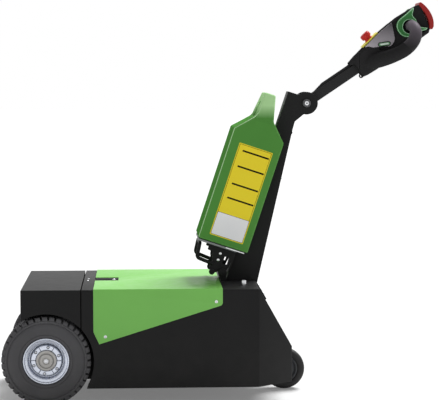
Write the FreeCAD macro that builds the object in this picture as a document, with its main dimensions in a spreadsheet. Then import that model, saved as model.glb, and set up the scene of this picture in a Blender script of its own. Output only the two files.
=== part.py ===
import math
import os
import re

import FreeCAD
import Part
import Sketcher

# Electric tow tug: a pedestrian-operated tug with two driven wheels and a tow jaw in front,
# one swivel castor behind, a removable battery can on the column and a tiller with a
# control head.  Millimetres, +Z up, -X is the towing end, +X the operator's end.
# The frame's origin lies on the floor, below the middle of the machine.

DIMENSIONS = {
    # shared fits
    "running_gap": 0.05,
    "seat_gap": 0.3,
    # drive wheels, which stand on the floor
    "axle_x": -513,
    "wheel_radius": 130,
    "wheel_width": 85,
    "tyre_bead": 8,
    "tyre_bead_rise": 6,
    "tyre_shoulder": 14,
    "tyre_round": 9,
    "rim_radius": 67.5,
    "rim_wall": 6,
    "disc_face": 22,
    "disc_sheet": 11,
    "disc_edge": 44.5,
    "disc_groove": 8,
    "groove_slope": 1.5,
    "groove_floor": 2.5,
    "disc_slope": 9,
    "dish_drop": 1,
    "well_taper": 9,
    "well_step": 2,
    "bolt_circle": 38,
    "bolt_hole": 3.6,
    "hub_cap_radius": 29.5,
    "hub_cap_height": 4.5,
    "hub_cap_edge": 1.5,
    "hub_step_radius": 19,
    "hub_step_height": 3.5,
    "hub_nut_radius": 8,
    "hub_nut_height": 4.5,
    "axle_radius": 15,
    "shaft_reach": 60,
    # chassis body
    "body_width": 460,
    "body_height": 338,
    "underside": 56,
    "sheet": 3,
    "fold_radius": 2,
    "arch_gap": 8.5,
    "cover_ahead": 72,
    "cover_behind": 100,
    "cover_below_axle": 20,
    "seam_gap": 3,
    "bridge_length": 34.4,
    "bridge_gap": 0.5,
    "hood_length": 374.2,
    "hood_sheet": 2,
    "rear_deck_length": 106.9,
    "tail_length": 102.8,
    "tail_width": 302.8,
    "tail_height": 155.7,
    "hood_front_drop": 122,
    "hood_chamfer_x": 16.6,
    "hood_low_drop": 158,
    "hood_rear_drop": 46,
    "hood_corner": 10,
    "notch_width": 72,
    "notch_length": 70,
    # running gear frame
    "rail_spacing": 250,
    "rail_sheet": 6,
    "rail_below_axle": 72,
    "rail_above_axle": 60,
    "bulkhead_gap": 3,
    "housing_radius": 34,
    "housing_end_gap": 12,
    "shaft_gap": 1,
    "gearbox_radius": 62,
    "gearbox_width": 96,
    "gearbox_taper": 14,
    "motor_seat": 8,
    "motor_radius": 52,
    "motor_step": 8,
    "motor_flange": 12,
    "motor_length": 80,
    # tow jaw
    "jaw_length": 34,
    "jaw_width": 70,
    "jaw_plate": 12,
    "jaw_mouth": 34,
    "jaw_throat": 8,
    "jaw_corner": 18,
    "jaw_height": 140,
    "jaw_bore_radius": 12.5,
    "hitch_plate": 10,
    "hitch_half_height": 45,
    # castor
    "castor_radius": 62.5,
    "castor_width": 40,
    "castor_rim_radius": 40,
    "castor_rim_wall": 6,
    "castor_bead": 4,
    "castor_bead_rise": 3,
    "castor_shoulder": 9,
    "castor_round": 7,
    "castor_web": 12,
    "castor_hub_radius": 14,
    "castor_hub_stand": 2,
    "castor_trail": 38,
    "castor_from_tail": 47.8,
    "castor_plate": 6,
    "castor_plate_length": 105,
    "castor_plate_width": 85,
    "castor_plate_corner": 8,
    "castor_well": 112,
    "race_radius": 30,
    "race_height": 6,
    "king_pin_radius": 8,
    "crown_height": 6,
    "crown_reach": 26,
    "crown_overhang": 6,
    "fork_sheet": 4,
    "fork_gap": 4,
    "fork_toe": 14,
    "castor_axle_radius": 6,
    "castor_nut_radius": 9,
    "castor_nut_height": 5,
    # column
    "column_width": 66,
    "column_sheet": 3,
    "column_ahead": 87,
    "column_behind": 8,
    "column_lean": 18.27,
    "pivot_height": 872,
    "ear_radius": 34,
    "pivot_bolt_radius": 8,
    "pivot_head_radius": 12,
    "pivot_head_height": 8,
    "foot_flange": 12,
    "foot_reach": 33,
    "foot_sheet": 3,
    # battery
    "battery_gap": 3.8,
    "battery_raise": 105.4,
    "battery_length": 155,
    "battery_width": 185,
    "battery_tall": 339,
    "battery_neck": 390,
    "battery_top": 462,
    "battery_round": 8,
    "handle_start": 58,
    "handle_end": 90,
    "handle_span": 128,
    "handle_bar": 24,
    "groove_depth": 33,
    "groove_gap": 1.5,
    "parting_width": 4,
    "parting_depth": 1.5,
    "base_sheet": 6,
    "base_inset": 4,
    # cradle below the battery
    "cradle_sheet": 4,
    "cradle_spacing": 120,
    "knob_radius": 8.4,
    "knob_length": 11,
    "knuckle_radius": 9.4,
    "knuckle_lobe": 12,
    "cradle_pin_radius": 5,
    "bail_radius": 4.7,
    "bail_bend": 11,
    "bracket_sheet": 4,
    "bracket_ear": 13,
    # tiller
    "arm_angle": 34,
    "arm_size": 30,
    "arm_wall": 3,
    "arm_tail": 20,
    "arm_reach": 205,
    "hub_radius": 15,
    "hub_side_gap": 0.5,
    "cable_cover": 8,
    "head_start": 187,
    "head_end": 434,
    "head_width": 76,
    "head_round": 12,
    "neck_reach": 12.5,
    "neck_low": 19.8,
    "neck_high": 27.4,
    "recess_depth": 7,
    "nose_inset": 4,
    "band_sheet": 15,
    "band_round": 4,
    "eye_radius": 6.5,
    "eye_hole": 2.6,
    "eye_sheet": 8,
    "grip_along": 387.5,
    "grip_up": 18,
    "grip_radius": 15.5,
    "grip_span": 250,
    "horn_along": 292,
    "horn_up": 16.5,
    "horn_tilt": -26,
    "horn_reach": 12.5,
    "horn_radius": 5.5,
    "horn_rise": 3,
    "paddle_along": 378.5,
    "paddle_up": 23,
    "paddle_radius": 32.5,
    "paddle_reach": 58,
    "paddle_tip": 5,
    "paddle_spread": 40,
    "paddle_proud": 9,
    "paddle_offset": 3.2,
    "stop_along": 266.2,
    "stop_up": 51.9,
    "stop_slope": 10.6,
    "stop_radius": 15.5,
    "stop_collar": 13,
    "stop_collar_height": 4,
    "stop_height": 20.5,
    "stop_plate_length": 60.5,
    "stop_plate_width": 48,
    "stop_plate_sheet": 4.5,
}

BOLTS_ON_DISC = 6

doc = FreeCAD.newDocument("TowTug")
sizes = doc.addObject("Spreadsheet::Sheet", "Sizes")


def fill_sheet():
    """Write each driving dimension as plain text beside its name."""
    for row, (name, value) in enumerate(DIMENSIONS.items(), start=1):
        sizes.set(f"A{row}", name)
        sizes.set(f"B{row}", str(value))
        sizes.setAlias(f"B{row}", name)
    doc.recompute()


def bound(words):
    """Turn words such as 'body_width / 2' into an expression on the sheet's cells."""
    text = str(words)
    return re.sub(r"[a-z]+(_[a-z]+)*", lambda m: "Sizes." + m[0] if m[0] in DIMENSIONS else m[0], text)


def value(words):
    """Work out words on the sheet's cells as a plain number, for shapes set in code."""
    result = sizes.evalExpression(bound(words))
    return float(getattr(result, "Value", result))


fill_sheet()

# Stations on the machine, each worked out from the ones before it.
AXLE_Z = "wheel_radius"
HALF = "body_width / 2"
INNER_HALF = "(body_width / 2 - sheet)"
DECK = "body_height - sheet"
COVER_FRONT = "axle_x - cover_ahead"
COVER_REAR = "axle_x + cover_behind"
BRIDGE_FRONT = COVER_REAR + " + seam_gap"
HOOD_FRONT = BRIDGE_FRONT + " + bridge_length"
HOOD_REAR = HOOD_FRONT + " + hood_length"
BEND = HOOD_REAR + " + rear_deck_length"
TAIL = BEND + " + tail_length"
SLOPE = "(body_height - tail_height) / tail_length"
BULKHEAD = "axle_x + wheel_radius + arch_gap + bulkhead_gap"
CASTOR_X = TAIL + " - castor_from_tail"
SHELF_LOW = "(tail_height - 2 * sheet)"
FOOT_X = BEND + " - column_ahead"
COLUMN_INNER = "(column_width / 2 - column_sheet)"
COLUMN_TOP_RISE = "35.5"
PIVOT_X = FOOT_X + f" + (pivot_height + {COLUMN_TOP_RISE} - body_height) * tan(column_lean) + 55"
STANDOFF = "(battery_length - groove_depth + battery_gap)"
BATTERY_X = FOOT_X + f" - {STANDOFF} * cos(column_lean) + battery_raise * sin(column_lean)"
BATTERY_Z = f"body_height + {STANDOFF} * sin(column_lean) + battery_raise * cos(column_lean)"
TRAY_LOW = "-base_sheet - cradle_sheet"
KNUCKLE = (f"{STANDOFF} - 20.1", "-80.9")
ARCH = ("axle_x", AXLE_Z, "wheel_radius + arch_gap")

PLANES = {"XY": ("XY_Plane", 1), "XZ": ("XZ_Plane", -1), "YZ": ("YZ_Plane", 1)}
AXIS_X = FreeCAD.Vector(1, 0, 0)
AXIS_Y = FreeCAD.Vector(0, 1, 0)
AXIS_Z = FreeCAD.Vector(0, 0, 1)


# ---------------------------------------------------------------- drawing

def new_body(label):
    """Start a body that carries the sub-part's name."""
    body = doc.addObject("PartDesign::Body", label)
    body.Label = label
    return body


def origin_feature(body, role):
    """Find one of the body's own origin planes or axes by its role."""
    return next(item for item in body.Origin.OriginFeatures if item.Role == role)


def place(obj, x=0, y=0, z=0, axis=None, angle=0):
    """Bind a sub-part's placement to the sheet."""
    if axis is not None:
        obj.Placement = FreeCAD.Placement(FreeCAD.Vector(), FreeCAD.Rotation(FreeCAD.Vector(*axis), 1))
        obj.setExpression("Placement.Rotation.Angle", bound(angle))
    obj.setExpression("Placement.Base.x", bound(x))
    obj.setExpression("Placement.Base.y", bound(y))
    obj.setExpression("Placement.Base.z", bound(z))
    return obj


def hold(sketch, kind, words, *where):
    """Add a measured constraint that follows the sheet."""
    index = sketch.addConstraint(Sketcher.Constraint(kind, *where, value(words)))
    sketch.renameConstraint(index, f"{kind}{index}")
    sketch.setExpression(f"Constraints.{kind}{index}", bound(words))


def pin_point(sketch, geometry, end, x, y):
    """Hold one point of a sketch at the place that two expressions give."""
    hold(sketch, "DistanceX", x, -1, 1, geometry, end)
    hold(sketch, "DistanceY", y, -1, 1, geometry, end)


def draw_polygon(sketch, corners):
    """Draw a closed outline of straight lines through the given corners."""
    points = [FreeCAD.Vector(value(x), value(y), 0) for x, y in corners]
    first = sketch.GeometryCount
    for start, end in zip(points, points[1:] + points[:1]):
        sketch.addGeometry(Part.LineSegment(start, end), False)
    count = len(points)
    for step in range(count):
        following = first + (step + 1) % count
        sketch.addConstraint(Sketcher.Constraint("Coincident", first + step, 2, following, 1))
    for step, (x, y) in enumerate(corners):
        pin_point(sketch, first + step, 1, x, y)


def draw_circle(sketch, x, y, radius):
    """Draw a circle with a bound centre and radius."""
    centre = FreeCAD.Vector(value(x), value(y), 0)
    index = sketch.addGeometry(Part.Circle(centre, FreeCAD.Vector(0, 0, 1), value(radius)), False)
    pin_point(sketch, index, 3, x, y)
    hold(sketch, "Radius", radius, index)


def draw_rounded(sketch, x_low, x_high, y_low, y_high, radius):
    """Draw an upright rectangle with four bound corner arcs."""
    spans = ((x_low, x_high), (y_low, y_high))
    inner = [(f"{low} + ({radius})", f"{high} - ({radius})") for low, high in spans]
    (x_in, x_out), (y_in, y_out) = inner
    sides = [
        ((x_in, y_low), (x_out, y_low)),
        ((x_high, y_in), (x_high, y_out)),
        ((x_out, y_high), (x_in, y_high)),
        ((x_low, y_out), (x_low, y_in)),
    ]
    centres = [(x_out, y_in), (x_out, y_out), (x_in, y_out), (x_in, y_in)]
    for step, (side, centre) in enumerate(zip(sides, centres)):
        start, end = (FreeCAD.Vector(value(x), value(y), 0) for x, y in side)
        line = sketch.addGeometry(Part.LineSegment(start, end), False)
        pin_point(sketch, line, 1, *side[0])
        pin_point(sketch, line, 2, *side[1])
        circle = Part.Circle(FreeCAD.Vector(value(centre[0]), value(centre[1]), 0), AXIS_Z, value(radius))
        quarter = math.pi / 2
        sketch.addGeometry(Part.ArcOfCircle(circle, (step - 1) * quarter, step * quarter), False)
    for step in range(4):
        line, bend, following = (2 * step, 2 * step + 1, (2 * step + 2) % 8)
        sketch.addConstraint(Sketcher.Constraint("Coincident", line, 2, bend, 1))
        sketch.addConstraint(Sketcher.Constraint("Coincident", bend, 2, following, 1))
        hold(sketch, "Radius", radius, bend)


def new_sketch(body, plane, offset, outlines):
    """Attach a sketch to one of the body's planes and draw its outlines.

    An outline is a list of corners, a tuple (x, y, radius) for a circle, or a tuple
    (x_low, x_high, y_low, y_high, radius) for a rectangle with round corners.
    """
    role = PLANES[plane][0]
    sketch = body.newObject("Sketcher::SketchObject", f"{body.Name}Sketch")
    sketch.AttachmentSupport = [(origin_feature(body, role), "")]
    sketch.MapMode = "FlatFace"
    sketch.setExpression("AttachmentOffset.Base.z", bound(offset))
    for outline in outlines:
        if isinstance(outline, list):
            draw_polygon(sketch, outline)
        elif len(outline) == 3:
            draw_circle(sketch, *outline)
        else:
            draw_rounded(sketch, *outline)
    return sketch


def rectangle(x_low, x_high, y_low, y_high):
    """Corners of an upright rectangle."""
    return [(x_low, y_low), (x_high, y_low), (x_high, y_high), (x_low, y_high)]


def hexagon(x, y, radius):
    """Corners of a hexagon with a flat on top."""
    bearings = [60 * step for step in range(6)]
    return [(f"{x} + ({radius}) * cos({turn})", f"{y} + ({radius}) * sin({turn})") for turn in bearings]


# ---------------------------------------------------------------- solid features

def pad(body, plane, outlines, low, high):
    """Add the outlines' solid between two stations on the axis across the plane."""
    normal = PLANES[plane][1]
    offset = low if normal > 0 else f"-({high})"
    feature = body.newObject("PartDesign::Pad", f"{body.Name}Pad")
    feature.Profile = new_sketch(body, plane, offset, outlines)
    feature.setExpression("Length", bound(f"({high}) - ({low})"))
    return feature


def pocket(body, plane, outlines, low, high):
    """Cut the outlines' solid between two stations on the axis across the plane."""
    normal = PLANES[plane][1]
    offset = high if normal > 0 else f"-({low})"
    feature = body.newObject("PartDesign::Pocket", f"{body.Name}Pocket")
    feature.Profile = new_sketch(body, plane, offset, outlines)
    feature.setExpression("Length", bound(f"({high}) - ({low})"))
    return feature


def revolve(body, profile):
    """Turn a half profile of (radius, along-axis) corners about the body's Y axis."""
    feature = body.newObject("PartDesign::Revolution", f"{body.Name}Revolution")
    feature.Profile = new_sketch(body, "XY", 0, [profile])
    feature.ReferenceAxis = (origin_feature(body, "Y_Axis"), [""])
    feature.Angle = 360
    return feature


def repeat_round(body, feature, count):
    """Repeat a feature round the body's Y axis."""
    pattern = body.newObject("PartDesign::PolarPattern", f"{body.Name}Pattern")
    pattern.Originals = [feature]
    pattern.Axis = (origin_feature(body, "Y_Axis"), [""])
    pattern.Angle = 360
    pattern.Occurrences = count
    body.Tip = pattern
    return pattern


def loft(body, plane, stations):
    """Loft straight from one outline to the next, each at its station across the plane."""
    sketches = [new_sketch(body, plane, station, [outline]) for station, outline in stations]
    feature = body.newObject("PartDesign::AdditiveLoft", f"{body.Name}Loft")
    feature.Profile = sketches[0]
    feature.Sections = sketches[1:]
    feature.Ruled = True
    return feature


def fillet(body, radius, chosen):
    """Round the edges of the body's last feature that a test picks out."""
    doc.recompute()
    tip = body.Tip
    names = [f"Edge{i}" for i, edge in enumerate(tip.Shape.Edges, start=1) if chosen(edge)]
    feature = body.newObject("PartDesign::Fillet", f"{body.Name}Fillet")
    feature.Base = (tip, names)
    feature.setExpression("Radius", bound(radius))
    return feature


def runs_along(edge, axis):
    """Say whether a straight edge runs along a unit vector."""
    if not isinstance(edge.Curve, Part.Line):
        return False
    return abs(abs(edge.Curve.Direction.dot(axis)) - 1) < 1e-6


def lies_at(edge, x=None, y=None, z=None):
    """Say whether an edge's middle lies at the stations that are given."""
    middle = edge.CenterOfMass
    wanted = ((middle.x, x), (middle.y, y), (middle.z, z))
    return all(words is None or abs(found - value(words)) < 0.01 for found, words in wanted)


def is_ring(edge, radius, y):
    """Say whether an edge is a full circle of a radius about the Y axis at a station."""
    round_edge = isinstance(edge.Curve, Part.Circle)
    return round_edge and abs(edge.Curve.Radius - value(radius)) < 0.01 and lies_at(edge, y=y)


def block(label, x_span, y_span, z_span):
    """A body of one rectangular pad."""
    body = new_body(label)
    pad(body, "XY", [rectangle(*x_span, *y_span)], *z_span)
    return body


def ordered(first, second):
    """Two stations, the lower one first."""
    return sorted((first, second), key=value)


# ---------------------------------------------------------------- chassis panels

def side_panel(side, sign):
    """Folded side sheet with the wheel arch, bent inwards beside the castor."""
    body = new_body(f"side_panel_{side}")
    plan = [
        (BRIDGE_FRONT, f"{sign} * {HALF}"),
        (BEND, f"{sign} * {HALF}"),
        (TAIL, f"{sign} * tail_width / 2"),
        (TAIL, f"{sign} * (tail_width / 2 - sheet)"),
        (BEND, f"{sign} * {INNER_HALF}"),
        (BRIDGE_FRONT, f"{sign} * {INNER_HALF}"),
    ]
    pad(body, "XY", [plan], "underside", DECK)
    across = ordered(f"{sign} * {HALF}", "0")
    pocket(body, "XZ", [ARCH], *across)
    slope = [
        (BEND, DECK),
        (TAIL + " + sheet", DECK),
        (TAIL + " + sheet", f"tail_height - sheet - sheet * {SLOPE}"),
        (TAIL, "tail_height - sheet"),
    ]
    pocket(body, "XZ", [slope], *across)
    return body


def front_cover():
    """Folded box over the drive axle, open below and behind, cut out for both wheels."""
    body = new_body("front_cover")
    low = f"{AXLE_Z} - cover_below_axle"
    pad(body, "XZ", [rectangle(COVER_FRONT, COVER_REAR, low, "body_height")], "-" + HALF, HALF)
    folds = [
        {"x": COVER_FRONT, "z": "body_height"},
        {"y": "-" + HALF, "z": "body_height"},
        {"y": HALF, "z": "body_height"},
        {"x": COVER_FRONT, "y": "-" + HALF},
        {"x": COVER_FRONT, "y": HALF},
    ]
    fillet(body, "fold_radius", lambda edge: any(lies_at(edge, **fold) for fold in folds))
    inside = rectangle(COVER_FRONT + " + sheet", COVER_REAR + " + sheet", low + " - sheet", DECK)
    pocket(body, "XZ", [inside], f"-{INNER_HALF}", INNER_HALF)
    well = "body_width / 2 - wheel_width - arch_gap"
    pocket(body, "XZ", [ARCH], "-" + HALF, f"-({well})")
    pocket(body, "XZ", [ARCH], well, HALF)
    return body


def front_bridge():
    """Narrow plate across the body between the front cover and the hood."""
    x_span = (BRIDGE_FRONT, HOOD_FRONT + " - bridge_gap")
    return block("front_bridge", x_span, ("-" + HALF, HALF), (DECK, "body_height"))


def deck_plate():
    """Flat deck under the hood, showing behind it in front of the column's foot."""
    return block("deck_plate", (HOOD_FRONT, BEND), ("-" + HALF, HALF), (DECK, "body_height"))


def hood():
    """Green folded hood: flat top, two sides with a slanted lower edge, a notch in front."""
    body = new_body("hood")
    top = "body_height + seat_gap + hood_sheet"
    outer = "body_width / 2 + seat_gap + hood_sheet"
    side = [
        (HOOD_FRONT, top),
        (HOOD_FRONT, "body_height - hood_front_drop"),
        (HOOD_FRONT + " + hood_chamfer_x", "body_height - hood_low_drop"),
        (HOOD_REAR, "body_height - hood_rear_drop"),
        (HOOD_REAR, top),
    ]
    pad(body, "XZ", [side], f"-({outer})", outer)
    fillet(body, "hood_corner", lambda edge: lies_at(edge, x=HOOD_REAR, z="body_height - hood_rear_drop"))
    folds = [{"y": outer, "z": top}, {"y": f"-({outer})", "z": top}]
    fillet(body, "fold_radius", lambda edge: any(lies_at(edge, **fold) for fold in folds))
    under = rectangle(HOOD_FRONT + " - 1", HOOD_REAR + " + 1", "underside", "body_height + seat_gap")
    pocket(body, "XZ", [under], "-(body_width / 2 + seat_gap)", "body_width / 2 + seat_gap")
    notch_rear = HOOD_FRONT + " + notch_length"
    notch = rectangle(HOOD_FRONT + " - 1", notch_rear, "-notch_width / 2", "notch_width / 2")
    pocket(body, "XY", [notch], DECK, top)
    return body


def slope_panel():
    """Rear cover plate that slopes down between the two bent sides."""
    body = new_body("slope_panel")
    profile = [
        (BEND, "body_height"),
        (TAIL, "tail_height"),
        (TAIL, "tail_height - sheet"),
        (BEND, DECK),
    ]
    pad(body, "XZ", [profile], "-" + HALF, HALF)
    for sign in (-1, 1):
        trim = [
            (BEND, f"{sign} * {HALF}"),
            (TAIL, f"{sign} * tail_width / 2"),
            (TAIL + " + sheet", f"{sign} * tail_width / 2"),
            (TAIL + " + sheet", f"{sign} * (body_width / 2 + sheet)"),
            (BEND, f"{sign} * (body_width / 2 + sheet)"),
        ]
        pocket(body, "XY", [trim], f"tail_height - 2 * sheet - sheet * {SLOPE}", "body_height + sheet")
    return body


def floor_pan():
    """Bottom sheet between the side panels, from the bulkhead to the castor well."""
    x_span = (BULKHEAD + " + sheet", CASTOR_X + " - castor_well")
    return block("floor_pan", x_span, ("-" + INNER_HALF, INNER_HALF), ("underside", "underside + sheet"))


def front_bulkhead():
    """Upright plate behind the drive wheels."""
    x_span = (BULKHEAD, BULKHEAD + " + sheet")
    return block("front_bulkhead", x_span, ("-" + INNER_HALF, INNER_HALF), ("underside", DECK))


def castor_shelf():
    """Upright plate ahead of the castor and the shelf that the castor hangs from."""
    body = new_body("castor_shelf")
    front = CASTOR_X + " - castor_well"
    top = "tail_height - sheet - seat_gap"
    profile = [
        (front, "underside"),
        (front + " + sheet", "underside"),
        (front + " + sheet", SHELF_LOW),
        (TAIL + " - sheet", SHELF_LOW),
        (TAIL + " - sheet", top),
        (front, top),
    ]
    pad(body, "XZ", [profile], f"-{INNER_HALF}", INNER_HALF)
    for sign in (-1, 1):
        trim = [
            (BEND, f"{sign} * (body_width / 2 - sheet - seat_gap)"),
            (TAIL, f"{sign} * (tail_width / 2 - sheet - seat_gap)"),
            (TAIL, f"{sign} * {HALF}"),
            (BEND, f"{sign} * {HALF}"),
        ]
        pocket(body, "XY", [trim], "underside - 1", "tail_height")
    return body


# ---------------------------------------------------------------- running gear

def frame_rails():
    """Two upright plates that carry the drive unit ahead of the bulkhead."""
    body = new_body("frame_rails")
    low = f"{AXLE_Z} - rail_below_axle"
    high = "body_height - 2 * sheet"
    outline = [
        (COVER_FRONT + " + sheet", low),
        (BULKHEAD, low),
        (BULKHEAD, high),
        (BULKHEAD + " - rail_above_axle", high),
        (COVER_FRONT + " + sheet", f"{AXLE_Z} + rail_above_axle"),
    ]
    bore = ("axle_x", AXLE_Z, "housing_radius + seat_gap")
    for sign in (-1, 1):
        across = ordered(f"{sign} * rail_spacing / 2", f"{sign} * (rail_spacing / 2 - rail_sheet)")
        pad(body, "XZ", [outline], *across)
        pocket(body, "XZ", [bore], *across)
    return body


def axle_housing():
    """Axle tube with the gearbox bulge in its middle."""
    body = new_body("axle_housing")
    reach = "body_width / 2 - wheel_width - housing_end_gap"
    bulge = "gearbox_width / 2"
    revolve(body, [
        ("axle_radius + shaft_gap", f"-({reach})"),
        ("housing_radius", f"-({reach})"),
        ("housing_radius", f"-{bulge} - gearbox_taper"),
        ("gearbox_radius", f"-{bulge}"),
        ("gearbox_radius", bulge),
        ("housing_radius", f"{bulge} + gearbox_taper"),
        ("housing_radius", reach),
        ("axle_radius + shaft_gap", reach),
    ])
    seat = "gearbox_radius - motor_seat"
    flat = rectangle(seat, "gearbox_radius + 1", "-gearbox_radius", "gearbox_radius")
    pocket(body, "XZ", [flat], f"-{bulge}", bulge)
    return place(body, x="axle_x", z=AXLE_Z)


def drive_motor():
    """Motor lying behind the gearbox, above the floor pan."""
    body = new_body("drive_motor")
    revolve(body, [
        ("0", "0"),
        ("motor_radius - motor_step", "0"),
        ("motor_radius - motor_step", "motor_flange"),
        ("motor_radius", "motor_flange"),
        ("motor_radius", "motor_length - motor_step"),
        ("motor_radius - motor_step", "motor_length"),
        ("0", "motor_length"),
    ])
    return place(body, x="axle_x + gearbox_radius - motor_seat", z=AXLE_Z, axis=(0, 0, 1), angle="-90")


def hitch_plate():
    """Steel plate across the front that carries the jaw."""
    return block("hitch_plate", (COVER_FRONT + " - hitch_plate", COVER_FRONT),
                 ("-rail_spacing / 2", "rail_spacing / 2"),
                 ("jaw_height - hitch_half_height", "jaw_height + hitch_half_height"))


def tow_jaw():
    """Forked steel jaw with an open upright hole for a hitch pin."""
    body = new_body("tow_jaw")
    back = COVER_FRONT + " - hitch_plate"
    front = f"{back} - jaw_length"
    throat = f"{back} - jaw_throat"
    low, high = "jaw_height - jaw_mouth / 2 - jaw_plate", "jaw_height + jaw_mouth / 2 + jaw_plate"
    profile = [
        (back, low),
        (back, high),
        (front, high),
        (front, "jaw_height + jaw_mouth / 2"),
        (throat, "jaw_height + jaw_mouth / 2"),
        (throat, "jaw_height - jaw_mouth / 2"),
        (front, "jaw_height - jaw_mouth / 2"),
        (front, low),
    ]
    pad(body, "XZ", [profile], "-jaw_width / 2", "jaw_width / 2")
    fillet(body, "jaw_corner", lambda edge: runs_along(edge, AXIS_Z) and lies_at(edge, x=front))
    bore = (f"{throat} - (jaw_length - jaw_throat) / 2", "0", "jaw_bore_radius")
    pocket(body, "XY", [bore], low, high)
    return body


# ---------------------------------------------------------------- wheels

def tyre(name, radius, width, rim, bead, bead_rise, shoulder, rounding):
    """A tyre turned about its axle, with rounded shoulders."""
    body = new_body(f"{name}_tyre")
    half = f"{width} / 2"
    shoulder = f"min({shoulder}; ({radius} - {rim} - {bead_rise}) / 2)"
    revolve(body, [
        (rim, f"-{half} + {bead}"),
        (f"{rim} + {bead_rise}", f"-{half}"),
        (f"{radius} - {shoulder}", f"-{half}"),
        (radius, f"-{half} + {shoulder}"),
        (radius, f"{half} - {shoulder}"),
        (f"{radius} - {shoulder}", half),
        (f"{rim} + {bead_rise}", half),
        (rim, f"{half} - {bead}"),
    ])
    rings = [(radius, f"{half} - {shoulder}"), (f"{radius} - {shoulder}", half)]
    rings += [(size, f"-({station})") for size, station in rings]
    fillet(body, rounding, lambda edge: any(is_ring(edge, *ring) for ring in rings))
    return body


def drive_wheel(side, sign):
    """Drive wheel: ridged tyre, dished steel rim with bolt holes, stepped hub cap and shaft."""
    centre_y = f"{sign} * (body_width / 2 - wheel_width / 2)"
    spot = {"x": "axle_x", "y": centre_y, "z": AXLE_Z}
    name = f"drive_{side}"
    rubber = tyre(
        name, "wheel_radius", "wheel_width", "rim_radius",
        "tyre_bead", "tyre_bead_rise", "tyre_shoulder", "tyre_round",
    )
    inside = "rim_radius - rim_wall"
    lip = "wheel_width / 2 - tyre_bead"
    rim = new_body(f"{name}_rim")
    revolve(rim, [
        ("axle_radius", f"{sign} * disc_face"),
        ("disc_edge", f"{sign} * disc_face"),
        ("disc_edge + groove_slope", f"{sign} * (disc_face - disc_groove)"),
        ("disc_edge + groove_slope + groove_floor", f"{sign} * (disc_face - disc_groove)"),
        ("disc_edge + 2 * groove_slope + groove_floor", f"{sign} * (disc_face - dish_drop)"),
        (f"{inside} - groove_slope", f"{sign} * (disc_face + disc_slope)"),
        (inside, f"{sign} * ({lip})"),
        ("rim_radius", f"{sign} * ({lip})"),
        ("rim_radius", f"-{sign} * ({lip})"),
        (inside, f"-{sign} * ({lip})"),
        (inside, f"{sign} * (disc_face - well_step)"),
        (f"{inside} - well_taper", f"{sign} * (disc_face - disc_sheet)"),
        ("axle_radius", f"{sign} * (disc_face - disc_sheet)"),
    ])
    hole = [("bolt_circle", "0", "bolt_hole")]
    through = ordered(f"{sign} * (disc_face + 1)", f"{sign} * (disc_face - disc_sheet - 1)")
    repeat_round(rim, pocket(rim, "XZ", hole, *through), BOLTS_ON_DISC)
    hub = new_body(f"{name}_hub")
    cap = f"{sign} * (disc_face + hub_cap_height)"
    step = f"{sign} * (disc_face + hub_cap_height + hub_step_height)"
    revolve(hub, [
        ("0", f"{sign} * disc_face"),
        ("hub_cap_radius", f"{sign} * disc_face"),
        ("hub_cap_radius - hub_cap_edge", cap),
        ("hub_step_radius", cap),
        ("hub_step_radius - dish_drop", step),
        ("0", step),
    ])
    nut = ordered(f"{sign} * disc_face", f"{step} + {sign} * hub_nut_height")
    pad(hub, "XZ", [hexagon("0", "0", "hub_nut_radius")], *nut)
    shaft = new_body(f"{name}_shaft")
    inner = f"-{sign} * (wheel_width / 2 + shaft_reach)"
    revolve(shaft, [
        ("0", inner),
        ("axle_radius", inner),
        ("axle_radius", f"{sign} * disc_face"),
        ("0", f"{sign} * disc_face"),
    ])
    pieces = [rubber, rim, hub, shaft]
    for piece in pieces:
        place(piece, **spot)
    return pieces


def castor_wheel():
    """Castor tyre and its moulded centre with a hub on the axle."""
    rubber = tyre(
        "castor", "castor_radius", "castor_width", "castor_rim_radius",
        "castor_bead", "castor_bead_rise", "castor_shoulder", "castor_round",
    )
    seat = "castor_width / 2 - castor_bead"
    boss = "castor_width / 2 + castor_hub_stand"
    web = "castor_web / 2"
    centre = new_body("castor_rim")
    bore = "castor_axle_radius + running_gap"
    inside = "castor_rim_radius - castor_rim_wall"
    revolve(centre, [
        (bore, f"-({boss})"),
        ("castor_hub_radius", f"-({boss})"),
        ("castor_hub_radius", f"-{web}"),
        (inside, f"-{web}"),
        (inside, f"-({seat})"),
        ("castor_rim_radius", f"-({seat})"),
        ("castor_rim_radius", seat),
        (inside, seat),
        (inside, web),
        ("castor_hub_radius", web),
        ("castor_hub_radius", boss),
        (bore, boss),
    ])
    for piece in (rubber, centre):
        place(piece, x=CASTOR_X + " + castor_trail", z="castor_radius")
    return [rubber, centre]


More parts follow.
